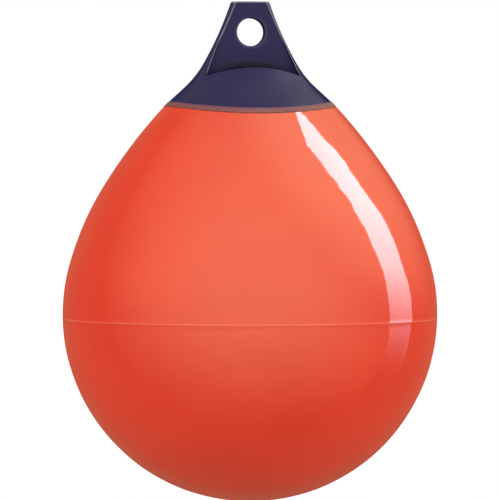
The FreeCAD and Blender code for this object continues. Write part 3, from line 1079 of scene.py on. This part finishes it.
@dataclass
class Envelope:
    """The inflated red envelope: a thin closed wall with the mould's parting bead round it."""

    outline: BuoyOutline
    wall: float = 3.0 * MM
    bead_drop: float = 4.0 * MM
    bead_height: float = 0.16 * MM
    bead_half_width: float = 0.8 * MM
    bead_room: float = 1.0 * MM
    swell_size: float = 60.0 * MM
    swell_height: float = 0.7 * MM
    calm_depth: float = 30.0 * MM
    body_steps: int = 72
    shoulder_steps: int = 14
    neck_steps: int = 18
    inner_body_steps: int = 24
    inner_neck_steps: int = 6
    lap_steps: int = 60
    steps_round: int = 240
    reach: float = 123.0 * MM
    cut_top: float = 100.0 * MM
    finish: EnvelopeVinyl = field(default_factory=EnvelopeVinyl)

    def bead_points(self) -> list[Vector]:
        """The parting bead's section.

        Returns:
            Its points, from below upwards.
        """
        sphere = self.outline.sphere()
        half = math.degrees(self.bead_half_width / sphere.radius)
        middle = math.degrees(math.asin(-self.bead_drop / sphere.radius))
        return [
            sphere.at(middle + half * along, -self.bead_height * up) for along, up in BEAD_PROFILE
        ]

    def outer_points(self) -> list[Vector]:
        """The outside's section.

        Returns:
            Its points, from the bottom pole up to the joint circle.
        """
        sphere = self.outline.sphere().points(self.body_steps)
        bead = self.bead_points()
        below = [point for point in sphere if point.z < bead[0].z - self.bead_room]
        above = [point for point in sphere if point.z > bead[-1].z + self.bead_room]
        shoulder = self.outline.shoulder().points(self.shoulder_steps)[1:]
        neck = self.outline.neck().points(self.neck_steps)[1:]
        below[0].x = 0.0
        return below + bead + above + shoulder + neck

    def inner_points(self) -> list[Vector]:
        """The inside's section.

        Returns:
            Its points, from the joint circle down to the pole.
        """
        neck = self.outline.neck().points(self.inner_neck_steps, self.wall)
        shoulder = self.outline.shoulder().points(self.inner_neck_steps, self.wall)[:-1]
        sphere = self.outline.sphere().points(self.inner_body_steps, self.wall)[:-1]
        sphere[0].x = 0.0
        return (sphere + shoulder + neck)[::-1]

    def cutter(self) -> Piece:
        """The space above the lap's arched edge.

        Returns:
            The space as a solid.
        """
        edge = self.outline.lap_edge(0.0, self.reach, self.lap_steps)
        corners = [section_point(side * self.reach, self.cut_top) for side in (1, -1)]
        return prism("above_lap", edge + corners, -self.reach, self.reach)

    def swell_weight(self, place: Vector) -> float:
        """How far the surface may swell at a place.

        Args:
            place: the place.

        Returns:
            The share: 0 at the lap and inside, and up to 1 elsewhere.
        """
        from_lap = (self.outline.lap_level - place.z) / self.calm_depth
        middle = self.outline.sphere_centre
        skin = self.outline.body_radius - MM
        inside = place.z < middle.z and (place - middle).length < skin
        return 0.0 if inside else max(0.0, min(1.0, from_lap))

    def build(self) -> Piece:
        """Builds and dresses the envelope.

        Returns:
            The finished piece.
        """
        section = self.outer_points() + self.inner_points()
        piece = turned("envelope", section, False, self.steps_round)
        combine(piece, self.cutter(), Join.CUT)
        weigh(piece, "swelling", self.swell_weight)
        swell(piece, "swelling", self.swell_size, self.swell_height)
        tidy_mesh(piece)
        bead_level = self.bead_points()[len(BEAD_PROFILE) // 2].z
        enlist(piece, "body", self.finish.material(bead_level))
        return piece


@dataclass
class SeamBand:
    """The thin lap of envelope vinyl round the head's skirt, between two arched edges."""

    outline: BuoyOutline
    height: float = 5.7 * MM
    spare: float = 17.1 * MM
    proud: float = 0.25 * MM
    sunk: float = 0.6 * MM
    section_steps: int = 8
    lap_steps: int = 60
    steps_round: int = 300
    reach: float = 123.0 * MM

    def section(self) -> list[Vector]:
        """The strip's section, with room to spare beyond both edges.

        Returns:
            Its closed outline, either side of the joint circle.
        """
        outline = self.outline
        neck = outline.neck_above(outline.lap_level - self.spare)
        outer = neck.points(self.section_steps, -self.proud)
        inner = neck.points(self.section_steps, self.sunk)
        top = outline.joint - outline.down_skirt * self.spare
        upper = [top + outline.outward * self.proud, top - outline.outward * self.sunk]
        return outer + upper + inner[::-1]

    def window(self) -> Piece:
        """The space between the lap's edge and the band's upper edge.

        Returns:
            The space as a solid.
        """
        low = self.outline.lap_edge(0.0, self.reach, self.lap_steps)
        high = self.outline.lap_edge(self.height, self.reach, self.lap_steps)
        return prism("band_window", low + high[::-1], -self.reach, self.reach)

    def build(self) -> Piece:
        """Builds and dresses the band.

        Returns:
            The finished piece.
        """
        piece = turned("seam_lap", self.section(), True, self.steps_round)
        combine(piece, self.window(), Join.KEEP)
        tidy_mesh(piece)
        finish = LapVinyl(outline=self.outline, height=self.height)
        enlist(piece, "seam_band", finish.material())
        return piece


@dataclass
class RopeHead:
    """The moulded rope head: a bell with a pocket front and back and the rope eye between them."""

    outline: BuoyOutline
    plate_thickness: float = 22.0 * MM
    sill_half_width: float = 42.7 * MM
    sill_drop: float = 35.5 * MM
    sill_radius: float = 136.0 * MM
    sill_fillet: float = 9.0 * MM
    pocket_slope: float = 22.5
    pocket_over: float = 10.0 * MM
    eye_radius: float = 13.75 * MM
    eye_rounding: float = 2.9 * MM
    eye_over: float = 6.0 * MM
    boss_radius: float = 11.0 * MM
    boss_height: float = 1.2 * MM
    boss_depth: float = 4.0 * MM
    barrel_radius: float = 6.5 * MM
    drill_depth: float = 20.0 * MM
    drill_over: float = 9.0 * MM
    valve_climb: float = 10.5 * MM
    envelope_wall: float = 3.2 * MM
    tuck_wall: float = 3.0 * MM
    tuck_depth: float = 28.0 * MM
    tuck_start: float = 4.0 * MM
    tuck_foot: float = 9.0 * MM
    lining_drop: float = 4.0 * MM
    roof_drop: float = 51.0 * MM
    hidden_rise: float = 1.5 * MM
    underside_play: float = 0.3 * MM
    underside_slope: float = -0.9
    cut_bottom: float = -200.0 * MM
    grain: float = 0.84 * MM
    softening: int = 7
    softening_share: float = 0.5
    flare_steps: int = 24
    blend_steps: int = 8
    neck_steps: int = 4
    sill_steps: int = 32
    fillet_steps: int = 8
    rim_steps: int = 6
    lap_steps: int = 48
    eye_steps_round: int = 72
    boss_steps_round: int = 64
    steps_round: int = 200
    tool_reach: float = 130.0 * MM

    @property
    def sill_centre(self) -> Vector:
        """The centre of the sills' arc, seen from the front."""
        return section_point(0.0, -self.sill_drop - self.sill_radius)

    def bell_section(self) -> list[Vector]:
        """The solid bell's half section.

        Returns:
            Its points, from the flat top down and back to the axis.
        """
        outline = self.outline
        low = outline.lap_level - 2 * self.envelope_wall
        flare = outline.flare().points(self.flare_steps)[::-1]
        blend = outline.blend().points(self.blend_steps)[::-1][1:]
        neck = outline.neck_above(low).points(self.neck_steps)[::-1]
        top = section_point(0.0, outline.head_top)
        return [top] + flare + blend + neck + [section_point(0.0, low)]

    def pocket(self, side: int) -> Piece:
        """The space of one pocket: an arched sill, sloping side walls and an open top.

        Args:
            side: -1 for the front and 1 for the back.

        Returns:
            The space as a solid, with its sill rounded where it meets the plate.
        """
        centre = self.sill_centre
        level = section_point(self.sill_half_width, -self.sill_drop)
        wall = section_direction(self.pocket_slope - 90)
        corner = line_meets_circle(level, wall, centre, self.sill_radius)
        half_turn = 90 - angle_of(corner - centre)
        sill = Arc(centre, self.sill_radius, 90 + half_turn, 90 - half_turn)
        high = self.outline.head_top + self.pocket_over
        wide = self.sill_half_width
        wide -= (self.sill_drop + high) * math.tan(math.radians(self.pocket_slope))
        lid = [section_point(wide, high), section_point(-wide, high)]
        face = side * self.plate_thickness / 2
        points = sill.points(self.sill_steps) + lid
        piece = prism("pocket", points, face, side * self.tool_reach)

        def on_sill(place: Vector) -> bool:
            """Whether a place is on the sill's edge at the plate."""
            off_arc = (section_point(place.x, place.z) - centre).length - self.sill_radius
            return abs(off_arc) < NEAR and abs(place.y - face) < NEAR

        edit(piece)
        select_points(piece, on_sill)
        bpy.ops.mesh.select_mode(type=Pick.EDGES.value)
        bpy.ops.mesh.bevel(
            offset=self.sill_fillet, segments=self.fillet_steps, profile=0.5, affect="EDGES"
        )
        tidy_mesh(piece)
        return piece

    def eye(self) -> Piece:
        """The rope eye's space.

        Returns:
            The space as a solid, widened at both rims.
        """
        face = self.plate_thickness / 2
        rim = self.eye_radius + self.eye_rounding
        low = Arc(section_point(rim, self.eye_rounding - face), self.eye_rounding, 270, 180)
        high = Arc(section_point(rim, face - self.eye_rounding), self.eye_rounding, 180, 90)
        end = face + self.eye_over
        points = [section_point(0.0, -end), section_point(rim, -end)]
        points += low.points(self.rim_steps) + high.points(self.rim_steps)
        points += [section_point(rim, end), section_point(0.0, end)]
        piece = turned("eye_space", points, False, self.eye_steps_round)
        place(piece, Vector((0, 0, 0)), 90)
        return piece

    def valve_origin(self) -> Vector:
        """The valve's place.

        Returns:
            The middle of the valve boss's top, on the back of the skirt.
        """
        outline = self.outline
        spot = outline.joint - outline.down_skirt * self.valve_climb
        spot = spot + outline.outward * self.boss_height
        return Vector((0.0, spot.x, spot.z))

    def on_skirt(self, name: str, radius: float, low: float, high: float) -> Piece:
        """A round solid square to the skirt at the valve's place.

        Args:
            name: its name.
            radius: its radius.
            low: its lower end, from the boss's top.
            high: its upper end, from the boss's top.

        Returns:
            The solid.
        """
        corners = ((0.0, low), (radius, low), (radius, high), (0.0, high))
        section = [section_point(*corner) for corner in corners]
        piece = turned(name, section, False, self.boss_steps_round)
        place(piece, self.valve_origin(), self.outline.skirt_slope - 90)
        return piece

    def below_lap(self) -> Piece:
        """The space under the band, where the envelope's wall takes over.

        Returns:
            The space as a solid.
        """
        edge = self.outline.lap_edge(self.hidden_rise, self.tool_reach, self.lap_steps)
        corners = [section_point(side * self.tool_reach, self.cut_bottom) for side in (1, -1)]
        return prism("below_lap", edge + corners, -self.tool_reach, self.tool_reach)

    def soften(self, piece: Piece) -> None:
        """Turns the cut bell into one even skin and rounds its edges, as moulding does.

        Args:
            piece: the bell.
        """
        apply_modifier(piece, "REMESH", mode="VOXEL", voxel_size=self.grain)
        share = self.softening_share
        apply_modifier(piece, "SMOOTH", factor=share, iterations=self.softening)

    def open_below(self, piece: Piece) -> None:
        """Cuts the bell off under the band, and takes its underside away.

        Args:
            piece: the softened bell, left in edit mode with the open edge selected.
        """
        combine(piece, self.below_lap(), Join.CUT)
        play = self.hidden_rise + self.underside_play
        edit(piece, Pick.FACES)
        bpy.ops.object.mode_set(mode="OBJECT")
        for face in piece.data.polygons:
            low = face.center.z < self.outline.lap_height(face.center.x) + play
            face.select = low and face.normal.z < self.underside_slope
        bpy.ops.object.mode_set(mode="EDIT")
        bpy.ops.mesh.delete(type="FACE")
        bpy.ops.mesh.select_mode(type=Pick.EDGES.value)
        bpy.ops.mesh.select_non_manifold()

    def ring(self, radius: float, level: float) -> None:
        """Extrudes the selected ring of edges to a round ring at a level.

        Args:
            radius: the new ring's radius.
            level: its height.
        """
        bpy.ops.mesh.extrude_region_move(TRANSFORM_OT_translate={"value": (0, 0, 0)})
        piece = bpy.context.object
        bpy.ops.object.mode_set(mode="OBJECT")
        for vertex in piece.data.vertices:
            if vertex.select:
                flat = Vector((vertex.co.x, vertex.co.y))
                vertex.co = (*(flat.normalized() * radius), level)
        bpy.ops.object.mode_set(mode="EDIT")

    def line_inside(self, piece: Piece) -> None:
        """Gives the opened bell its tucked flange, its lining and its roof.

        Args:
            piece: the bell, in edit mode with its open edge selected.
        """
        outline = self.outline
        outer = outline.neck_radius - self.envelope_wall
        inner = outer - self.tuck_wall
        start = outline.lap_level + self.tuck_start
        hem = -outline.joint_drop - self.tuck_depth
        foot = hem + self.tuck_foot
        lining = -outline.joint_drop - self.lining_drop

        def across(radius: float, level: float) -> float:
            """A circle's distance from the axis at a level, about the neck's centre."""
            angle = outline.neck_angle(level, radius)
            return outline.neck_across + radius * math.cos(math.radians(angle))

        walls = ((outer, start), (outer, foot), (outer, hem), (inner, hem), (inner, foot))
        for radius, level in (*walls, (inner, lining)):
            self.ring(across(radius, level), level)
        climb = -self.roof_drop - lining
        slope = math.tan(math.radians(outline.skirt_slope))
        self.ring(across(inner, lining) - climb * slope, -self.roof_drop)
        bpy.ops.mesh.edge_face_add()
        tidy_mesh(piece)

    def build(self) -> Piece:
        """Builds and dresses the head.

        Returns:
            The finished piece.
        """
        piece = turned("rope_head", self.bell_section(), False, self.steps_round)
        for side in (-1, 1):
            combine(piece, self.pocket(side), Join.CUT)
        combine(piece, self.eye(), Join.CUT)
        boss = self.on_skirt("boss", self.boss_radius, -self.boss_depth, 0.0)
        combine(piece, boss, Join.ADD)
        drill = self.on_skirt("drill", self.barrel_radius, -self.drill_depth, self.drill_over)
        combine(piece, drill, Join.CUT)
        self.soften(piece)
        self.open_below(piece)
        self.line_inside(piece)
        finish = HeadVinyl(self.sill_centre.z, self.sill_radius)
        enlist(piece, "head", finish.material())
        return piece


@dataclass
class Valve:
    """The inflation valve at the back: a flanged bush, a sealing washer and a slotted screw."""

    origin: Vector
    tilt: float
    barrel_radius: float
    barrel_length: float = 9.0 * MM
    flange_radius: float = 9.0 * MM
    flange_height: float = 1.2 * MM
    bore_radius: float = 4.2 * MM
    washer_radius: float = 7.5 * MM
    washer_height: float = 1.2 * MM
    shank_radius: float = 4.0 * MM
    shank_length: float = 8.0 * MM
    knob_radius: float = 7.5 * MM
    knob_height: float = 3.4 * MM
    slot_width: float = 1.8 * MM
    slot_depth: float = 1.6 * MM
    slot_over: float = 1.0 * MM
    rounding: float = 0.35 * MM
    rounding_steps: int = 3
    rounding_angle: float = 40.0
    steps_round: int = 72

    def turn(self, name: str, corners: Corners, closed: bool) -> Piece:
        """A turned piece, made about Z from its half section's corners."""
        points = [section_point(*corner) for corner in corners]
        return turned(name, points, closed, self.steps_round)

    def fit(self, piece: Piece, width: float, node: str, finish: SmallFinish) -> None:
        """Rounds a piece's edges, puts it on the boss and dresses it.

        Args:
            piece: the piece, made about Z.
            width: the width of the rounding.
            node: the name of the node that it stands for.
            finish: its finish.
        """
        apply_modifier(
            piece,
            "BEVEL",
            width=width,
            segments=self.rounding_steps,
            limit_method="ANGLE",
            angle_limit=math.radians(self.rounding_angle),
        )
        tidy_mesh(piece)
        place(piece, self.origin, self.tilt)
        enlist(piece, node, finish.material())

    def build_bush(self) -> Piece:
        """The brass bush that is moulded into the skirt.

        Returns:
            The finished piece.
        """
        corners = (
            (self.bore_radius, -self.barrel_length),
            (self.barrel_radius, -self.barrel_length),
            (self.barrel_radius, 0.0),
            (self.flange_radius, 0.0),
            (self.flange_radius, self.flange_height),
            (self.bore_radius, self.flange_height),
        )
        piece = self.turn("bush", corners, True)
        self.fit(piece, self.rounding, "valve_bush", TurnedBrass())
        return piece

    def build_washer(self) -> Piece:
        """The rubber washer under the screw's head.

        Returns:
            The finished piece.
        """
        low, high = self.flange_height, self.flange_height + self.washer_height
        corners = (
            (self.bore_radius, low),
            (self.washer_radius, low),
            (self.washer_radius, high),
            (self.bore_radius, high),
        )
        piece = self.turn("washer", corners, True)
        self.fit(piece, self.rounding, "valve_washer", SealRubber())
        return piece

    def build_screw(self) -> Piece:
        """The slotted screw that closes the valve.

        Returns:
            The finished piece.
        """
        seat = self.flange_height + self.washer_height
        top = seat + self.knob_height
        corners = (
            (0.0, -self.shank_length),
            (self.shank_radius, -self.shank_length),
            (self.shank_radius, seat),
            (self.knob_radius, seat),
            (self.knob_radius, top - 2 * self.rounding),
            (self.knob_radius - 2 * self.rounding, top),
            (0.0, top),
        )
        piece = self.turn("screw", corners, False)
        half, reach = self.slot_width / 2, 2 * self.knob_radius
        low, high = top - self.slot_depth, top + self.slot_over
        edges = ((-half, low), (half, low), (half, high), (-half, high))
        slot = prism("slot", [section_point(*edge) for edge in edges], -reach, reach)
        combine(piece, slot, Join.CUT)
        self.fit(piece, self.rounding / 2, "valve_screw", ScrewPlastic())
        return piece


# --------------------------------------------------------------------------------------- the studio


WHITE: Colour = (1.0, 1.0, 1.0, 1.0)
LAMP_AIM = Vector((0.0, 0.0, -0.25))


def bearing(azimuth: float, elevation: float) -> Vector:
    """The unit vector towards a place in the studio.

    Args:
        azimuth: degrees from the front towards the right.
        elevation: degrees above level.

    Returns:
        The direction.
    """
    turn, rise = math.radians(azimuth), math.radians(elevation)
    flat = math.cos(rise)
    return Vector((math.sin(turn) * flat, -math.cos(turn) * flat, math.sin(rise)))


@dataclass(frozen=True)
class SoftBox:
    """A soft lamp that lights the buoy and isn't mirrored in it."""

    name: str
    azimuth: float
    elevation: float
    width: float
    strength: float
    distance: float = 2.6

    def build(self) -> Piece:
        """Builds the lamp's face.

        Returns:
            The face.
        """
        way = bearing(self.azimuth, self.elevation)
        deselect_all()
        bpy.ops.mesh.primitive_plane_add(size=self.width, location=(0, 0, 0))
        face = bpy.context.object
        face.name = self.name
        face.location = LAMP_AIM + way * self.distance
        face.rotation_euler = way.to_track_quat("Z", "Y").to_euler()
        face.visible_camera = False
        face.visible_glossy = False
        sheet = NodeSheet(self.name)
        glow = sheet.add("ShaderNodeEmission")
        sheet.feed(glow.inputs["Strength"], self.strength)
        sheet.output(glow)
        face.data.materials.append(sheet.material)
        return face


@dataclass(frozen=True)
class Strip:
    """A tall narrow lamp that only shows as a highlight on gloss. It dims towards its foot."""

    azimuth: float = 105.5
    half_width: float = 11.0
    foot: float = -27.0
    bend: float = 44.0
    head: float = 61.0
    lean: float = 5.0
    tilt: float = 5.0
    front_head: float = 58.5
    back_head: float = 60.0
    distance: float = 12.0
    steps: int = 24
    strength: float = 7.2
    falloff: float = 1.3
    tint: Colour = (0.84, 0.88, 1.0, 1.0)

    def row(self, elevation: float, turn: float) -> tuple[Vector, Vector]:
        """The lamp's edges at one elevation, cut off at their heads.

        Args:
            elevation: degrees above level.
            turn: the camera's azimuth.

        Returns:
            The back and the front edge.
        """
        share = max(0.0, elevation - self.bend) / (self.head - self.bend)
        middle = self.azimuth + turn - self.lean * share
        raised = min(elevation + self.tilt * share, self.back_head)
        back = bearing(middle + self.half_width, raised)
        front = bearing(middle - self.half_width, min(elevation, self.front_head))
        return back * self.distance, front * self.distance

    def shape(self, turn: float) -> Piece:
        """Builds the lamp's face.

        Args:
            turn: the camera's azimuth, which the lamp's own is counted from.

        Returns:
            The face.
        """
        span = self.head - self.foot
        rows = [self.row(self.foot + span * i / self.steps, turn) for i in range(self.steps + 1)]
        back, front = zip(*rows)
        lamp = trace("strip_lamp", back + front[::-1], True)
        edit(lamp)
        bpy.ops.mesh.select_all(action="SELECT")
        bpy.ops.mesh.edge_face_add()
        bpy.ops.mesh.quads_convert_to_tris()
        bpy.ops.object.mode_set(mode="OBJECT")
        lamp.location = LAMP_AIM
        return lamp

    def glow(self) -> Material:
        """Makes the lamp's light.

        Returns:
            The material, which lets other light through.
        """
        sheet = NodeSheet("strip_glow")
        _, _, up = sheet.axes()
        low, high = (self.distance * math.sin(math.radians(a)) for a in (self.foot, self.bend))
        power = sheet.math("POWER", sheet.spread(up, low, high), self.falloff)
        glow = sheet.add("ShaderNodeEmission")
        sheet.feed(glow.inputs["Strength"], sheet.math("MULTIPLY", power, self.strength))
        sheet.feed(glow.inputs["Color"], self.tint)
        clear = sheet.add("ShaderNodeBsdfTransparent")
        both = sheet.add("ShaderNodeAddShader")
        sheet.feed_row(both.inputs, glow.outputs[0], clear.outputs[0])
        sheet.output(both)
        return sheet.material

    def build(self, turn: float) -> Piece:
        """Builds and dresses the lamp.

        Args:
            turn: the camera's azimuth, which the lamp's own is counted from.

        Returns:
            The lamp.
        """
        lamp = self.shape(turn)
        lamp.visible_camera = False
        lamp.visible_diffuse = False
        lamp.data.materials.append(self.glow())
        return lamp


@dataclass(frozen=True)
class Surround:
    """The studio's walls: white where they are seen, a soft light, and a bright front in gloss.

    Gloss mirrors a surround that is bright in front and dim behind, so no white rim shows.
    """

    light: float = 1.06
    light_rise: float = -0.2
    gloss: float = 0.56
    gloss_rise: float = 1.04
    gloss_low: float = 0.26
    gloss_high: float = 1.5
    gloss_azimuth: float = 6.0
    gloss_elevation: float = 20.0
    shade_low: float = -2.05
    shade_high: float = 0.42
    side_azimuth: float = 120.0
    side_elevation: float = 50.0
    side_reach: float = 56.0
    side_gloss: float = 0.95
    tint: Colour = (1.0, 0.96, 0.58, 1.0)

    def mirrored(self, wiring: Wiring, way: Socket, turn: float) -> Socket:
        """How bright the walls are in gloss.

        Args:
            wiring: the world's wiring.
            way: the way that a ray goes.
            turn: the camera's azimuth.

        Returns:
            The brightness.
        """
        bright = bearing(self.gloss_azimuth + turn, self.gloss_elevation)
        facing = wiring.towards(way, bright)
        gloss = wiring.math("MULTIPLY_ADD", facing, self.gloss_rise, self.gloss)
        gloss = wiring.math("MAXIMUM", gloss, self.gloss_low)
        gloss = wiring.math("MINIMUM", gloss, self.gloss_high)
        shading = wiring.spread(wiring.towards(way, UP), self.shade_low, self.shade_high)
        gloss = wiring.math("MULTIPLY", gloss, shading)
        gloss = wiring.math("MAXIMUM", gloss, self.gloss_low)
        near = wiring.towards(way, bearing(self.side_azimuth + turn, self.side_elevation))
        share = wiring.spread(near, math.cos(math.radians(self.side_reach)), 1.0)
        return wiring.math("MULTIPLY_ADD", share, self.side_gloss, gloss)

    def build(self, turn: float) -> None:
        """Makes the world.

        Args:
            turn: the camera's azimuth, which the bright side's is counted from.
        """
        world = bpy.data.worlds.new("surround")
        bpy.context.scene.world = world
        world.use_nodes = True
        wiring = Wiring(world.node_tree)
        rays = wiring.add("ShaderNodeLightPath").outputs
        way = wiring.add("ShaderNodeTexCoord").outputs["Generated"]
        rise = wiring.towards(way, UP)
        light = wiring.math("MULTIPLY_ADD", rise, self.light_rise, self.light)
        gain = wiring.math("SUBTRACT", self.mirrored(wiring, way, turn), light)
        in_gloss = wiring.math("MULTIPLY", rays["Is Glossy Ray"], gain)
        power = wiring.math("ADD", light, in_gloss)
        seen = wiring.math("MAXIMUM", rays["Is Camera Ray"], rays["Is Transmission Ray"])
        to_white = wiring.math("MULTIPLY", seen, wiring.math("SUBTRACT", 1.0, power))
        walls = wiring.tree.nodes["Background"]
        wiring.feed(walls.inputs["Strength"], wiring.math("ADD", power, to_white))
        colour = wiring.mix(rays["Is Glossy Ray"], WHITE, self.tint)
        wiring.feed(walls.inputs["Color"], colour)


@dataclass
class Studio:
    """A plain pale floor, a soft light, a strip lamp, a white surround and the camera."""

    floor_level: float = -0.98
    floor_radius: float = 6.0
    floor_steps: int = 96
    floor_colour: Colour = (0.5, 0.5, 0.5, 1.0)
    floor_rough: float = 0.9
    floor_lift: float = 0.33
    camera_azimuth: float = -6.5
    camera_distance: float = 4.3
    camera_level: float = -0.119
    camera_end: float = 50.0
    aim_level: float = -0.2139
    frame_width: float = 0.4915
    sensor: float = 36.0
    surround: Surround = field(default_factory=Surround)
    strip: Strip = field(default_factory=Strip)
    lamps: tuple[SoftBox, ...] = (
        SoftBox("left_lamp", -100.0, 0.0, 1.8, 1.7),
        SoftBox("right_lamp", 95.0, 0.0, 1.8, 2.2),
        SoftBox("low_lamp", 0.0, -4.0, 1.1, 3.2),
    )

    def floor_paint(self) -> Material:
        """Makes the floor's finish, which doesn't show from below.

        Returns:
            The material.
        """
        sheet = NodeSheet("floor_paint")
        sheet.set("Base Color", self.floor_colour)
        sheet.set("Roughness", self.floor_rough)
        sheet.set("Specular IOR Level", 0.0)
        rays = sheet.add("ShaderNodeLightPath").outputs
        seen = sheet.math("MAXIMUM", rays["Is Camera Ray"], rays["Is Transmission Ray"])
        sheet.set("Emission Color", WHITE)
        sheet.set("Emission Strength", sheet.math("MULTIPLY", seen, self.floor_lift))
        under = sheet.add("ShaderNodeNewGeometry").outputs["Backfacing"]
        clear = sheet.add("ShaderNodeBsdfTransparent")
        sides = sheet.add("ShaderNodeMixShader")
        sheet.feed_row(sides.inputs, under, sheet.surface.outputs[0], clear.outputs[0])
        sheet.output(sides)
        return sheet.material

    def build_floor(self) -> Piece:
        """Builds the pale floor, with the buoy's shadow on it.

        Returns:
            The floor.
        """
        deselect_all()
        middle = (0, 0, self.floor_level)
        bpy.ops.mesh.primitive_circle_add(
            vertices=self.floor_steps, radius=self.floor_radius, fill_type="NGON", location=middle
        )
        floor = bpy.context.object
        floor.name = "floor"
        floor.visible_glossy = False
        floor.data.materials.append(self.floor_paint())
        return floor

    def build_camera(self) -> None:
        """The camera, a little left of the front and a little above the buoy's middle."""
        data = bpy.data.cameras.new("camera")
        camera = bpy.data.objects.new("camera", data)
        bpy.context.scene.collection.objects.link(camera)
        turn = math.radians(self.camera_azimuth)
        across = self.camera_distance * math.sin(turn)
        back = -self.camera_distance * math.cos(turn)
        camera.location = (across, back, self.camera_level)
        aim = Vector((0.0, 0.0, self.aim_level))
        camera.rotation_euler = (aim - camera.location).to_track_quat("-Z", "Y").to_euler()
        data.sensor_width = self.sensor
        data.lens = self.sensor * self.camera_distance / self.frame_width
        data.clip_end = self.camera_end
        bpy.context.scene.camera = camera

    def build(self) -> None:
        """Sets up the studio."""
        self.build_floor()
        for lamp in self.lamps:
            lamp.build()
        self.strip.build(self.camera_azimuth)
        self.surround.build(self.camera_azimuth)
        self.build_camera()
        bpy.context.scene.view_settings.view_transform = "Standard"


def main() -> None:
    """Builds the buoy's pieces and the studio, and reports each."""
    logging.basicConfig(level=logging.INFO, format="%(name)s: %(message)s")
    outline = BuoyOutline()
    Envelope(outline).build()
    SeamBand(outline).build()
    head = RopeHead(outline)
    head.build()
    valve = Valve(head.valve_origin(), outline.skirt_slope - 90, head.barrel_radius)
    valve.build_bush()
    valve.build_washer()
    valve.build_screw()
    Studio().build()


if __name__ == "__main__":
    main()
